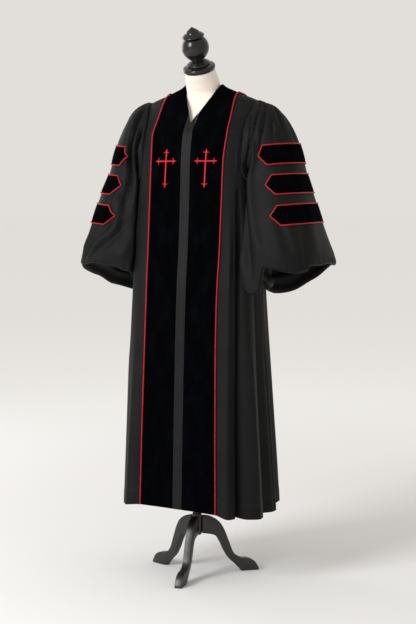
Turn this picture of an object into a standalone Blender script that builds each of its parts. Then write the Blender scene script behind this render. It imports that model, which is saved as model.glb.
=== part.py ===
"""A doctoral graduation gown on a limbless dress form with a tripod stand.

Metres, +Z up.  The gown's front faces -Y and the wearer's left is +X.  The origin is on the
floor under the middle of the whole object.

Every piece of the gown's body is cut from one surface, body_point(side, across, height): rings
that run from the hem to the neck, where "across" goes from 0 at the centre front to 1 at the
centre back.  Each sleeve is a second surface that starts in the armhole.  A piece is a patch of
its surface, given a wall of cloth, and it ends half a seam gap short of its neighbours.
"""

from bisect import bisect_left
from collections import namedtuple
from functools import lru_cache
from math import cos, exp, floor, pi, radians, sin, sqrt

import bmesh
import bpy
from mathutils import Matrix, Vector

# Cloth
CLOTH = 0.0020
VELVET = 0.0024
BAR_VELVET = 0.0016
SEAM_GAP = 0.0003
LAID_ON = 0.0005
BAR_LAID_ON = 0.0022
PIPING_RADIUS = 0.0022
BAR_PIPING_RADIUS = 0.0020

# Heights above the floor
HEM = 0.228
UNDERARM = 1.235
YOKE_SEAM = 1.402
V_POINT = 1.439
BAND_TOP = 1.469
BACK_NECK = 1.558
COLLAR_BACK = 1.498

# Lines on the body, as half widths
BAND_WIDTH = 0.0155
NECK_HALF = 0.064
NECK_HEIGHT = 1.563
COLLAR_HALF = 0.117
TIP_HALF = 0.185
ARMHOLE_HALF = 0.168
ARMHOLE_FLARE = 1.410
ARMHOLE_CORNER = 0.070
CLOSURE_PARTING = 0.0032
CLOSURE_PARTING_TOP = 0.012
CLOSURE_PARTING_FOOT = 0.058

# Rings of the body: half width, the middle's Y, and how far the front and the back reach from it.
# A power of 2 is an ellipse, and a higher one is squarer.
BodyRing = namedtuple("BodyRing", "height half_width middle front back front_power back_power")
BODY = (
    BodyRing(0.228, 0.223, 0.010, 0.188, 0.180, 4.5, 2.4),
    BodyRing(0.530, 0.212, 0.008, 0.175, 0.160, 4.5, 2.4),
    BodyRing(0.915, 0.203, 0.006, 0.152, 0.136, 4.2, 2.4),
    BodyRing(1.070, 0.200, 0.006, 0.135, 0.128, 4.0, 2.4),
    BodyRing(1.235, 0.192, 0.008, 0.126, 0.122, 3.4, 2.4),
    BodyRing(1.315, 0.190, 0.010, 0.124, 0.120, 3.0, 2.4),
    BodyRing(1.400, 0.200, 0.018, 0.118, 0.108, 2.5, 2.3),
    BodyRing(1.450, 0.210, 0.026, 0.094, 0.090, 2.1, 2.1),
    BodyRing(1.487, 0.205, 0.030, 0.072, 0.077, 2.0, 2.0),
    BodyRing(1.507, 0.185, 0.031, 0.058, 0.071, 2.0, 2.0),
    BodyRing(1.535, 0.117, 0.030, 0.040, 0.063, 2.0, 2.0),
    BodyRing(1.563, 0.064, 0.022, 0.026, 0.058, 2.0, 2.0),
    BodyRing(1.600, 0.056, 0.015, 0.022, 0.050, 2.0, 2.0),
)

# The velvet's outer edge, as a half width at each height
EdgeAt = namedtuple("EdgeAt", "height half_width")
VELVET_EDGE = (
    EdgeAt(0.228, 0.1305),
    EdgeAt(0.530, 0.1258),
    EdgeAt(0.890, 0.1210),
    EdgeAt(1.100, 0.1225),
    EdgeAt(1.315, 0.1225),
    EdgeAt(1.402, 0.1270),
)

# Flutes that open towards the hem, between two valleys given as shares of the way round
Flute = namedtuple("Flute", "start end lift top")
FLUTES_LEFT = (
    Flute(0.190, 0.286, 0.016, 1.10),
    Flute(0.286, 0.466, 0.034, 1.20),
    Flute(0.466, 0.600, 0.030, 1.16),
    Flute(0.600, 0.735, 0.026, 1.36),
    Flute(0.735, 0.870, 0.030, 1.38),
    Flute(0.870, 1.000, 0.024, 1.38),
)
FLUTES_RIGHT = (
    Flute(0.190, 0.300, 0.014, 1.08),
    Flute(0.300, 0.440, 0.005, 1.18),
    Flute(0.440, 0.580, 0.028, 1.14),
    Flute(0.580, 0.720, 0.030, 1.36),
    Flute(0.720, 0.860, 0.026, 1.38),
    Flute(0.860, 1.000, 0.030, 1.38),
)

# Small pleats where the back is gathered into its yoke
BACK_GATHERS = 9
BACK_GATHER_LIFT = 0.0035
BACK_GATHER_DROP = 0.22
BACK_GATHER_RISE = 0.012

# Rings of the sleeve: the middle, the lean of the ring from level, the drop of its rear, and how
# far it reaches outwards and to front and back.
SleeveRing = namedtuple("SleeveRing", "along x y height lean drop out deep power")
SLEEVE = (
    SleeveRing(0.00, 0.198, 0.022, 1.369, 80.0, 0.0, 0.136, 0.106, 2.1),
    SleeveRing(0.12, 0.206, 0.036, 1.360, 70.0, 0.0, 0.134, 0.104, 2.1),
    SleeveRing(0.24, 0.215, 0.048, 1.318, 50.0, 1.0, 0.121, 0.114, 2.1),
    SleeveRing(0.36, 0.225, 0.050, 1.255, 22.0, 3.0, 0.107, 0.128, 2.3),
    SleeveRing(0.52, 0.244, 0.048, 1.175, 15.0, 5.0, 0.112, 0.150, 2.5),
    SleeveRing(0.72, 0.268, 0.050, 1.070, 17.0, 6.0, 0.120, 0.172, 2.5),
    SleeveRing(0.92, 0.287, 0.049, 0.980, 21.0, 5.0, 0.130, 0.187, 2.5),
    SleeveRing(1.00, 0.291, 0.049, 0.952, 24.0, 4.5, 0.134, 0.187, 2.5),
)
SLEEVE_COLUMNS = 36
SLEEVE_ROWS = (0.0, 0.02, 0.05, 0.09, 0.15, 0.22, 0.30, 0.40, 0.52, 0.65, 0.78, 0.90, 1.0)
SLEEVE_ROOT = 0.02
SLEEVE_SPREAD = 0.24
SLEEVE_LIFT = 0.0048
SLEEVE_CLEAR = 0.0050
SLEEVE_CLEAR_SOFT = 0.012
ARMHOLE_CLEAR_TOP = 1.33
ARMHOLE_CLEAR_FADE = 0.03
FLUTE_ROOM = 0.036
FRONT_FLUTE_TOP = 1.20
BACK_FLUTE_TOP = 1.38
HEAD_GATHERS = 12
HEAD_GATHER_LIFT = 0.0050
HEAD_GATHER_RISE = 0.05
HEAD_GATHER_FADE = (0.08, 0.32)
SOFT_FOLDS = 6
SOFT_FOLD_TURN = 0.9
SOFT_FOLD_LIFT = 0.0060
SOFT_FOLD_RISE = (0.20, 0.50)
CUFF_GATHER_LIFT = 0.0030
FRONT_LOBE_LIFT = 0.026
FRONT_LOBE_TURN = 0.385
FRONT_LOBE_WIDTH = 0.075
FRONT_LOBE_RISE = (0.50, 0.88)
CUFF_GATHER_RISE = (0.82, 0.97)
CUFF_ROLL = 0.016
CUFF_ROLL_STEPS = 3
CUFF_FACING = 0.034

# Bars on the sleeve: how far round the points lie, and the height of the middle line
Bar = namedtuple("Bar", "point height rise")
BARS = (
    Bar(0.232, 1.334, 0.010),
    Bar(0.228, 1.243, 0.008),
    Bar(0.222, 1.149, 0.010),
)
BAR_HALF_HEIGHT = 0.0275
BAR_POINT = 0.026
BAR_TIP = 0.0018
BAR_COLUMN_CLEARANCE = 0.006
SLEEVE_GIRTH = 0.88

# Dress form
FormRing = namedtuple("FormRing", "height half_width middle front back lean")
FORM = (
    FormRing(0.800, 0.150, -0.006, 0.100, 0.096, 0.0),
    FormRing(0.830, 0.166, -0.006, 0.112, 0.108, 0.0),
    FormRing(0.900, 0.172, -0.004, 0.116, 0.112, 0.0),
    FormRing(0.980, 0.158, -0.002, 0.104, 0.100, 0.0),
    FormRing(1.070, 0.128, 0.000, 0.086, 0.080, 0.0),
    FormRing(1.150, 0.134, 0.000, 0.094, 0.084, 0.0),
    FormRing(1.235, 0.152, 0.002, 0.108, 0.094, 0.0),
    FormRing(1.315, 0.164, 0.006, 0.110, 0.098, 0.0),
    FormRing(1.390, 0.168, 0.014, 0.100, 0.090, 0.0),
    FormRing(1.440, 0.168, 0.022, 0.080, 0.078, 0.0),
    FormRing(1.480, 0.150, 0.027, 0.056, 0.060, 0.0),
    FormRing(1.505, 0.110, 0.028, 0.046, 0.052, 0.0),
    FormRing(1.522, 0.070, 0.026, 0.043, 0.048, 0.0),
    FormRing(1.540, 0.056, 0.024, 0.045, 0.047, 4.0),
    FormRing(1.562, 0.055, 0.018, 0.050, 0.050, 10.0),
    FormRing(1.585, 0.051, 0.005, 0.050, 0.049, 18.0),
    FormRing(1.606, 0.048, -0.008, 0.048, 0.048, 25.0),
)
FORM_COLUMNS = 24

# Neck cap and finial, turned about one leaning axis: distance along it and radius
NECK_LEAN = 25.0
CAP_FOOT = (-0.0088, 1.6078)
Turned = namedtuple("Turned", "along radius")
CAP_PROFILE = (
    Turned(0.0000, 0.0480),
    Turned(0.0020, 0.0505),
    Turned(0.0070, 0.0515),
    Turned(0.0120, 0.0505),
    Turned(0.0150, 0.0470),
    Turned(0.0165, 0.0380),
)
FINIAL_PROFILE = (
    Turned(0.0168, 0.0330),
    Turned(0.0200, 0.0325),
    Turned(0.0270, 0.0270),
    Turned(0.0330, 0.0205),
    Turned(0.0360, 0.0225),
    Turned(0.0390, 0.0300),
)
BALL_ALONG = 0.0745
BALL_RADIUS = 0.0428
BALL_STEPS = 8
BALL_FROM = 0.13
BALL_TO = 0.87
SPIRE_PROFILE = (
    Turned(0.1080, 0.0270),
    Turned(0.1100, 0.0345),
    Turned(0.1130, 0.0345),
    Turned(0.1190, 0.0225),
    Turned(0.1280, 0.0110),
    Turned(0.1370, 0.0045),
    Turned(0.1410, 0.0015),
)
TURNED_SIDES = 20

# Stand
COLUMN_Y = -0.030
COLUMN_RADIUS = 0.0125
COLUMN_TOP = 0.7990
HUB_BOTTOM = 0.1260
HUB_TOP = 0.1980
HUB_RADIUS = 0.0150
HUB_ROUND = 0.0030
LEG_COUNT = 3
LEG_TURN = 8.0
LEG_THICK = 0.0230
LEG_STEPS = 4
LegEdge = namedtuple("LegEdge", "reach height")
LEG_UPPER = (
    LegEdge(0.0153, 0.1870),
    LegEdge(0.0400, 0.1840),
    LegEdge(0.0690, 0.1680),
    LegEdge(0.0880, 0.1400),
    LegEdge(0.1030, 0.1020),
    LegEdge(0.1200, 0.0610),
    LegEdge(0.1440, 0.0440),
    LegEdge(0.1680, 0.0405),
    LegEdge(0.1900, 0.0290),
    LegEdge(0.2030, 0.0080),
)
LEG_SOLE = (0.2040, 0.1460)
LEG_LOWER = (
    LegEdge(0.1240, 0.0240),
    LegEdge(0.1030, 0.0440),
    LegEdge(0.0860, 0.0720),
    LegEdge(0.0720, 0.1020),
    LegEdge(0.0560, 0.1220),
    LegEdge(0.0153, 0.1310),
)

# Sampling
RING_STEPS = 240
RIDGE_LOW = 1.450
RIDGE_SEARCH_STEPS = 40
ARMHOLE_STEP = 0.01
ACROSS_STEP = 0.008
HEIGHT_STEP = 0.005
PANEL_HEIGHTS = (0.36, 0.50, 0.64, 0.78, 0.91, 1.03, 1.12, 1.18)
ARMHOLE_HEIGHTS = (1.2370, 1.2450, 1.2620, 1.2900, 1.3400)
YOKE_STEPS = 5
NECK_TURN_STEP = 2
ROW_CLEARANCE = 0.004
BAND_STEPS = (0.010, 0.020)
FRONT_COLUMNS = 12
BACK_COLUMNS = 14
VELVET_COLUMNS = 4
COLLAR_STEPS = 6
RIDGE_COLUMNS = 3

LEFT = 1
RIGHT = -1
SIDE_NAMES = {RIGHT: "right", LEFT: "left"}
SIDE_FLUTES = {RIGHT: FLUTES_RIGHT, LEFT: FLUTES_LEFT}


# --- Small helpers ---------------------------------------------------------------------------

def lerp(a, b, share):
    return a + (b - a) * share


def ease(share):
    """A smooth step from 0 to 1."""
    share = min(max(share, 0.0), 1.0)
    return share * share * (3.0 - 2.0 * share)


def rise_over(stretch, value):
    """A smooth step from 0 at the stretch's start to 1 at its end."""
    start, end = stretch
    return ease((value - start) / (end - start))


def slope_at(rows, index, column):
    """The slope of one column at a row, limited so that the curve never overshoots."""
    def secant(first):
        low = rows[first]
        high = rows[first + 1]
        return (high[column] - low[column]) / (high[0] - low[0])
    if index == 0:
        return secant(0)
    if index == len(rows) - 1:
        return secant(index - 1)
    before = secant(index - 1)
    after = secant(index)
    if before * after <= 0.0:
        return 0.0
    return 2.0 * before * after / (before + after)


@lru_cache(maxsize=None)
def read_table(rows, key):
    """The row of a table at any value of its first column, on a smooth curve."""
    if key <= rows[0][0]:
        return rows[0]
    if key >= rows[-1][0]:
        return rows[-1]
    upper = bisect_left([row[0] for row in rows], key)
    low = rows[upper - 1]
    high = rows[upper]
    span = high[0] - low[0]
    t = (key - low[0]) / span
    values = [key]
    for column in range(1, len(low)):
        start = slope_at(rows, upper - 1, column) * span
        end = slope_at(rows, upper, column) * span
        rise = high[column] - low[column]
        values.append(low[column] + t * (start + t * (3.0 * rise - 2.0 * start - end
                                                      + t * (start + end - 2.0 * rise))))
    return type(low)(*values)


def signed_power(value, power):
    return abs(value) ** power * (1.0 if value >= 0.0 else -1.0)


# --- Surface of the body ---------------------------------------------------------------------

@lru_cache(maxsize=None)
def half_ring(height):
    """Points of a ring from the centre front to the centre back, and the length up to each."""
    row = read_table(BODY, height)
    points = []
    for step in range(RING_STEPS + 1):
        turn = pi * step / RING_STEPS
        reach, power = (row.front, row.front_power) if turn < pi / 2 else (row.back, row.back_power)
        x = row.half_width * abs(sin(turn)) ** (2.0 / power)
        y = row.middle - reach * signed_power(cos(turn), 2.0 / power)
        points.append((x, y))
    lengths = [0.0]
    for (x0, y0), (x1, y1) in zip(points, points[1:]):
        lengths.append(lengths[-1] + sqrt((x1 - x0) ** 2 + (y1 - y0) ** 2))
    return points, lengths


def ring_length(height):
    return half_ring(height)[1][-1]


def side_across(height):
    """The share of the way round at which a ring is widest."""
    return half_ring(height)[1][RING_STEPS // 2] / ring_length(height)


def front_across(height, half_width):
    """The share of the way round at which the front of a ring has this half width."""
    points, lengths = half_ring(height)
    widths = [x for x, _ in points[:RING_STEPS // 2 + 1]]
    if half_width >= widths[-1]:
        return side_across(height)
    upper = max(bisect_left(widths, half_width), 1)
    share = (half_width - widths[upper - 1]) / (widths[upper] - widths[upper - 1])
    return lerp(lengths[upper - 1], lengths[upper], share) / lengths[-1]


def back_across(height, half_width):
    """The share of the way round at which the back of a ring has this half width."""
    points, lengths = half_ring(height)
    widths = [x for x, _ in reversed(points[RING_STEPS // 2:])]
    if half_width >= widths[-1]:
        return side_across(height)
    upper = max(bisect_left(widths, half_width), 1)
    share = (half_width - widths[upper - 1]) / (widths[upper] - widths[upper - 1])
    return lerp(lengths[RING_STEPS - upper + 1], lengths[RING_STEPS - upper], share) / lengths[-1]


def ring_point(height, across):
    """A point of the plain ring, with no flutes."""
    if across < 0.0:
        x, y = ring_point(height, -across)
        return -x, y
    if across > 1.0:
        x, y = ring_point(height, 2.0 - across)
        return -x, y
    points, lengths = half_ring(height)
    target = across * lengths[-1]
    upper = min(max(bisect_left(lengths, target), 1), RING_STEPS)
    share = (target - lengths[upper - 1]) / (lengths[upper] - lengths[upper - 1])
    (x0, y0), (x1, y1) = points[upper - 1], points[upper]
    return lerp(x0, x1, share), lerp(y0, y1, share)


def flute_lift(side, across, height):
    """How far the flutes and the back's small gathers stand out here."""
    lift = 0.0
    for flute in SIDE_FLUTES[side]:
        if flute.start < across < flute.end and height < flute.top:
            wave = 0.5 - 0.5 * cos(2.0 * pi * (across - flute.start) / (flute.end - flute.start))
            lift += flute.lift * wave * ease((flute.top - height) / (flute.top - HEM))
    gather_start = back_across(YOKE_SEAM, ARMHOLE_HALF)
    below_seam = YOKE_SEAM - height
    if across > gather_start and 0.0 <= below_seam < BACK_GATHER_DROP:
        share = (across - gather_start) / (1.0 - gather_start)
        fade = (1.0 - below_seam / BACK_GATHER_DROP) * ease(share * BACK_GATHERS)
        rise = ease(below_seam / BACK_GATHER_RISE)
        lift += BACK_GATHER_LIFT * fade * rise * (0.5 - 0.5 * cos(2.0 * pi * BACK_GATHERS * share))
    return lift


def body_point(side, across, height):
    """A point of the gown's body; below 0 and above 1 it runs on to the other side."""
    if across < 0.0:
        return body_point(-side, -across, height)
    if across > 1.0:
        return body_point(-side, 2.0 - across, height)
    x, y = ring_point(height, across)
    x0, y0 = ring_point(height, across - ACROSS_STEP)
    x1, y1 = ring_point(height, across + ACROSS_STEP)
    run = sqrt((x1 - x0) ** 2 + (y1 - y0) ** 2)
    lift = flute_lift(side, across, height)
    x += lift * (y1 - y0) / run
    y -= lift * (x1 - x0) / run
    return Vector((side * x, y, height))


def body_normal(side, across, height):
    """The outward direction at a point of the body."""
    round_it = body_point(side, across + ACROSS_STEP, height) - body_point(side, across - ACROSS_STEP, height)
    up = body_point(side, across, height + HEIGHT_STEP) - body_point(side, across, height - HEIGHT_STEP)
    return (side * round_it.cross(up)).normalized()


def ridge_height(half_width):
    """The height of the shoulder ridge at a half width."""
    low = RIDGE_LOW
    high = BODY[-1].height
    for _ in range(RIDGE_SEARCH_STEPS):
        middle = (low + high) / 2.0
        if read_table(BODY, middle).half_width > half_width:
            low = middle
        else:
            high = middle
    return low


TIP_HEIGHT = ridge_height(TIP_HALF)
COLLAR_HEIGHT = ridge_height(COLLAR_HALF)


def armhole_half(height):
    """The armhole's edge is upright, then flares out to the shoulder tip."""
    share = max(height - ARMHOLE_FLARE, 0.0) / (TIP_HEIGHT - ARMHOLE_FLARE)
    return lerp(ARMHOLE_HALF, TIP_HALF, share * share)


def armhole_across(height, front):
    """The armhole's edge at a height; above the shoulder tip it is the ridge."""
    side = side_across(height)
    if height >= TIP_HEIGHT:
        return side
    finder = front_across if front else back_across
    edge = finder(height, armhole_half(height))
    if height >= UNDERARM + ARMHOLE_CORNER:
        return edge
    if height <= UNDERARM:
        return side
    above = 1.0 - (height - UNDERARM) / ARMHOLE_CORNER
    return lerp(edge, side, 1.0 - sqrt(1.0 - above * above))


# --- Making solids ---------------------------------------------------------------------------

def paint(name, colour, roughness, metallic=0.0):
    material = bpy.data.materials.new(name)
    material.use_nodes = True
    shader = material.node_tree.nodes["Principled BSDF"]
    shader.inputs["Base Color"].default_value = (*colour, 1.0)
    shader.inputs["Roughness"].default_value = roughness
    shader.inputs["Metallic"].default_value = metallic
    return material


def add_solid(name, points, faces, material, smooth=True):
    mesh = bpy.data.meshes.new(name)
    mesh.from_pydata([tuple(point) for point in points], [], faces)
    shape = bmesh.new()
    shape.from_mesh(mesh)
    bmesh.ops.recalc_face_normals(shape, faces=shape.faces)
    shape.to_mesh(mesh)
    shape.free()
    if smooth:
        mesh.shade_smooth()
    mesh.materials.append(material)
    solid = bpy.data.objects.new(name, mesh)
    bpy.context.scene.collection.objects.link(solid)
    return solid


def wall(name, rows, thickness, material, closed=False, rise=0.0):
    """A wall of cloth about a grid of (point, normal) pairs; a closed grid meets itself."""
    height = len(rows)
    width = len(rows[0])
    count = height * width
    points = [point + normal * (rise + thickness / 2.0) for row in rows for point, normal in row]
    points += [point + normal * (rise - thickness / 2.0) for row in rows for point, normal in row]
    faces = []

    def strip(a, b, c, d):
        faces.append((a, b, c))
        faces.append((a, c, d))

    for i in range(height - 1):
        for j in range(width if closed else width - 1):
            k = (j + 1) % width
            a, b, c, d = i * width + j, i * width + k, (i + 1) * width + k, (i + 1) * width + j
            strip(a, b, c, d)
            faces.append((count + a, count + c, count + b))
            faces.append((count + a, count + d, count + c))
    top = (height - 1) * width
    for j in range(width if closed else width - 1):
        k = (j + 1) % width
        strip(k, j, count + j, count + k)
        strip(top + j, top + k, count + top + k, count + top + j)
    if not closed:
        for i in range(height - 1):
            a, b = i * width, (i + 1) * width
            strip(a, b, count + b, count + a)
            a, b = a + width - 1, b + width - 1
            strip(b, a, count + a, count + b)
    return add_solid(name, points, faces, material)


def cord(name, path, radius, sides, material, closed=False):
    """A round cord along (point, normal) pairs."""
    count = len(path)
    points = []
    for index, (point, normal) in enumerate(path):
        before = path[index - 1][0] if closed or index > 0 else point
        after = path[(index + 1) % count][0] if closed or index < count - 1 else point
        along = (after - before).normalized()
        across = along.cross(normal).normalized()
        upward = across.cross(along)
        for side in range(sides):
            turn = 2.0 * pi * (side + 0.5) / sides
            points.append(point + radius * (cos(turn) * upward + sin(turn) * across))
    faces = []
    for index in range(count if closed else count - 1):
        here = index * sides
        there = (index + 1) % count * sides
        for side in range(sides):
            other = (side + 1) % sides
            faces.append((here + side, here + other, there + other, there + side))
    if not closed:
        faces.append(tuple(reversed(range(sides))))
        faces.append(tuple((count - 1) * sides + side for side in range(sides)))
    return add_solid(name, points, faces, material)


# --- Panels of the body ----------------------------------------------------------------------

def on_body(side, across, height):
    return body_point(side, across, height), body_normal(side, across, height)


def gap_share(height):
    """Half a seam gap as a share of the way round."""
    return SEAM_GAP / 2.0 / ring_length(height)


def yoke_share(step):
    """Rows of the yoke lie closer together near the shoulder ridge."""
    return sin(pi / 2.0 * step / YOKE_STEPS)


def lower_heights(top):
    heights = [HEM] + list(PANEL_HEIGHTS) + [UNDERARM - 0.0001] + list(ARMHOLE_HEIGHTS)
    return [height for height in heights if height < top - ROW_CLEARANCE] + [top]


def velvet_edge(height):
    return front_across(height, read_table(VELVET_EDGE, height).half_width)


def make_front(side, material):
    rows = []
    for height in lower_heights(YOKE_SEAM - SEAM_GAP / 2.0):
        inner = velvet_edge(height) + gap_share(height)
        outer = armhole_across(height, True) - gap_share(height)
        rows.append([on_body(side, lerp(inner, outer, column / FRONT_COLUMNS), height)
                     for column in range(FRONT_COLUMNS + 1)])
    return wall("front_" + SIDE_NAMES[side], rows, CLOTH, material)


def make_back(material):
    rows = []
    for height in lower_heights(YOKE_SEAM - SEAM_GAP / 2.0):
        edge = armhole_across(height, False) + gap_share(height)
        row = []
        for column in range(-BACK_COLUMNS, BACK_COLUMNS + 1):
            side = RIGHT if column < 0 else LEFT
            row.append(on_body(side, lerp(1.0, edge, abs(column) / BACK_COLUMNS), height))
        rows.append(row)
    return wall("back", rows, CLOTH, material)


def velvet_outer(step):
    """The velvet's outer edge above the yoke seam, as a half width and a height."""
    share = yoke_share(step)
    half = lerp(VELVET_EDGE[-1].half_width, COLLAR_HALF, step / YOKE_STEPS)
    return half, lerp(YOKE_SEAM, COLLAR_HEIGHT, share)


def velvet_inner(step):
    """The velvet's inner edge: beside the band up to its top, then along the neck's V."""
    share = yoke_share(step)
    turn = yoke_share(NECK_TURN_STEP)
    if share <= turn:
        return BAND_WIDTH, lerp(YOKE_SEAM, BAND_TOP, share / turn)
    part = (share - turn) / (1.0 - turn)
    return lerp(BAND_WIDTH, NECK_HALF, part), lerp(BAND_TOP, NECK_HEIGHT, part)


def pull_to_front(place, amount):
    """Move a place on the shoulder ridge a little to the front."""
    point, normal = place
    return point + Vector((0.0, -amount, 0.0)), normal


def make_velvet(side, material):
    rows = []
    for height in lower_heights(YOKE_SEAM):
        inner = front_across(height, BAND_WIDTH) + gap_share(height)
        outer = velvet_edge(height) - gap_share(height)
        rows.append([on_body(side, lerp(inner, outer, column / VELVET_COLUMNS), height)
                     for column in range(VELVET_COLUMNS + 1)])
    for step in range(1, YOKE_STEPS + 1):
        inner_half, inner_height = velvet_inner(step)
        outer_half, outer_height = velvet_outer(step)
        row = []
        for column in range(VELVET_COLUMNS + 1):
            share = column / VELVET_COLUMNS
            half = lerp(inner_half, outer_half, share)
            height = lerp(inner_height, outer_height, share)
            if step == YOKE_STEPS:
                height = ridge_height(half)
                row.append(pull_to_front(on_body(side, side_across(height), height), SEAM_GAP / 2.0))
                continue
            across = front_across(height, half)
            if column == 0:
                across += gap_share(height)
            if column == VELVET_COLUMNS:
                across -= gap_share(height)
            row.append(on_body(side, across, height))
        rows.append(row)
    return wall("velvet_" + SIDE_NAMES[side], rows, VELVET, material)


def make_yoke(side, material):
    rows = []
    for step in range(YOKE_STEPS + 1):
        share = yoke_share(step)
        row = []
        for column in range(VELVET_COLUMNS + 1):
            part = column / VELVET_COLUMNS
            top = ridge_height(lerp(COLLAR_HALF, TIP_HALF, part))
            height = lerp(YOKE_SEAM + SEAM_GAP / 2.0, top, share)
            inner_half = lerp(VELVET_EDGE[-1].half_width, COLLAR_HALF, step / YOKE_STEPS)
            half = lerp(inner_half, armhole_half(height), part)
            if step == YOKE_STEPS:
                across = side_across(height)
                if column in (0, VELVET_COLUMNS):
                    height += (SEAM_GAP if column else -SEAM_GAP) / 2.0
                    across = side_across(height)
                row.append(pull_to_front(on_body(side, across, height), SEAM_GAP / 2.0))
                continue
            across = front_across(height, half)
            if column == 0:
                across += gap_share(height)
            if column == VELVET_COLUMNS:
                across -= gap_share(height)
            row.append(on_body(side, across, height))
        rows.append(row)
    return wall("yoke_" + SIDE_NAMES[side], rows, CLOTH, material)


def closure_half(height):
    """The strips part a little just under the neck's V."""
    open_top = V_POINT - CLOSURE_PARTING_TOP
    open_foot = V_POINT - CLOSURE_PARTING_FOOT
    if not open_foot < height < open_top:
        return SEAM_GAP / 2.0
    share = (height - open_foot) / (open_top - open_foot)
    return SEAM_GAP / 2.0 + CLOSURE_PARTING / 2.0 * sin(pi * share)


def make_band(side, material):
    rows = []
    heights = lower_heights(YOKE_SEAM) + [YOKE_SEAM + step for step in BAND_STEPS]
    for height in heights:
        inner = front_across(height, closure_half(height))
        outer = front_across(height, BAND_WIDTH) - gap_share(height)
        rows.append([on_body(side, inner, height), on_body(side, outer, height)])
    top_inner = front_across(V_POINT, SEAM_GAP / 2.0)
    top_outer = front_across(BAND_TOP, BAND_WIDTH) - gap_share(BAND_TOP)
    rows.append([on_body(side, top_inner, V_POINT), on_body(side, top_outer, BAND_TOP)])
    return wall("band_" + SIDE_NAMES[side], rows, CLOTH, material)


def collar_height(share):
    """The outer edge of the velvet round the back of the neck."""
    return lerp(COLLAR_HEIGHT, COLLAR_BACK, sin(pi / 2.0 * share))


def collar_place(side, share, part):
    """A place on the back of the collar: share from the shoulder to the centre back, part outwards."""
    height = lerp(lerp(NECK_HEIGHT, BACK_NECK, share), collar_height(share), part)
    if share == 0.0:
        height = ridge_height(lerp(NECK_HALF, COLLAR_HALF, part))
    if part == 1.0:
        height += SEAM_GAP / 2.0
    across = lerp(side_across(height), 1.0, share)
    place = on_body(side, across, height)
    return pull_to_front(place, -SEAM_GAP / 2.0) if share == 0.0 else place


def make_velvet_neck(material):
    rows = []
    for column in range(-COLLAR_STEPS, COLLAR_STEPS + 1):
        side = RIGHT if column < 0 else LEFT
        share = 1.0 - abs(column) / COLLAR_STEPS
        rows.append([collar_place(side, share, part / VELVET_COLUMNS) for part in range(VELVET_COLUMNS + 1)])
    return wall("velvet_neck", rows, VELVET, material)


def make_yoke_back(material):
    """Its top follows the shoulder ridge, then the collar; its sides follow the armholes."""
    columns = RIDGE_COLUMNS + COLLAR_STEPS
    rows = []
    for step in range(YOKE_STEPS + 1):
        share = yoke_share(step)
        row = []
        for column in range(-columns, columns + 1):
            side = RIGHT if column < 0 else LEFT
            place = columns - abs(column)
            on_ridge = place <= RIDGE_COLUMNS
            collar_share = max(place - RIDGE_COLUMNS, 0) / COLLAR_STEPS
            if on_ridge:
                top = ridge_height(lerp(TIP_HALF, COLLAR_HALF, place / RIDGE_COLUMNS))
            else:
                top = collar_height(collar_share) - SEAM_GAP / 2.0
            height = lerp(YOKE_SEAM + SEAM_GAP / 2.0, top, share)
            part = lerp(place / columns, collar_share, step / YOKE_STEPS)
            edge = armhole_across(height, False)
            if not on_ridge:
                edge = lerp(edge, side_across(height), step / YOKE_STEPS)
            across = lerp(edge, 1.0, part)
            if place == 0 and step < YOKE_STEPS:
                across += gap_share(height)
            if step == YOKE_STEPS and on_ridge:
                if place == 0:
                    height += SEAM_GAP / 2.0
                if place == RIDGE_COLUMNS:
                    height -= SEAM_GAP / 2.0
                row.append(pull_to_front(on_body(side, side_across(height), height), -SEAM_GAP / 2.0))
            else:
                row.append(on_body(side, across, height))
        rows.append(row)
    return wall("yoke_back", rows, CLOTH, material)


def raised(place, amount):
    point, normal = place
    return point + normal * amount, normal


def piping_side(side, rise):
    """The piping's path from the hem up to the shoulder ridge."""
    path = [raised(on_body(side, velvet_edge(height), height), rise) for height in lower_heights(YOKE_SEAM)]
    for step in range(1, YOKE_STEPS):
        half, height = velvet_outer(step)
        path.append(raised(on_body(side, front_across(height, half), height), rise))
    return path


def make_piping(material):
    """One red cord over the velvet's outer seam: up the right, round the neck and down the left."""
    rise = VELVET / 2.0 + LAID_ON + PIPING_RADIUS
    path = piping_side(RIGHT, rise)
    for column in range(-COLLAR_STEPS, COLLAR_STEPS + 1):
        side = RIGHT if column < 0 else LEFT
        share = 1.0 - abs(column) / COLLAR_STEPS
        height = collar_height(share)
        path.append(raised(on_body(side, lerp(side_across(height), 1.0, share), height), rise))
    path += reversed(piping_side(LEFT, rise))
    return cord("piping", path, PIPING_RADIUS, 6, material)


# --- Sleeves ---------------------------------------------------------------------------------

@lru_cache(maxsize=None)
def armhole_edge(front):
    """The corners of the armhole's edge in the panels, from underneath up to the shoulder tip."""
    heights = [UNDERARM] + list(ARMHOLE_HEIGHTS) + [YOKE_SEAM]
    heights += [lerp(YOKE_SEAM, TIP_HEIGHT, yoke_share(step)) for step in range(1, YOKE_STEPS + 1)]
    return [(height, on_body(LEFT, armhole_across(height, front), height)) for height in heights]


def armhole_place(turn):
    """A place on the armhole: 0 at the shoulder tip, a quarter at the front, a half underneath."""
    height = lerp(TIP_HEIGHT, UNDERARM, 0.5 - 0.5 * cos(2.0 * pi * turn))
    corners = armhole_edge(turn % 1.0 <= 0.5)
    upper = min(max(bisect_left([corner[0] for corner in corners], height), 1), len(corners) - 1)
    low, (low_point, low_normal) = corners[upper - 1]
    high, (high_point, high_normal) = corners[upper]
    share = (height - low) / (high - low)
    return low_point.lerp(high_point, share), low_normal.lerp(high_normal, share).normalized()


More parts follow.
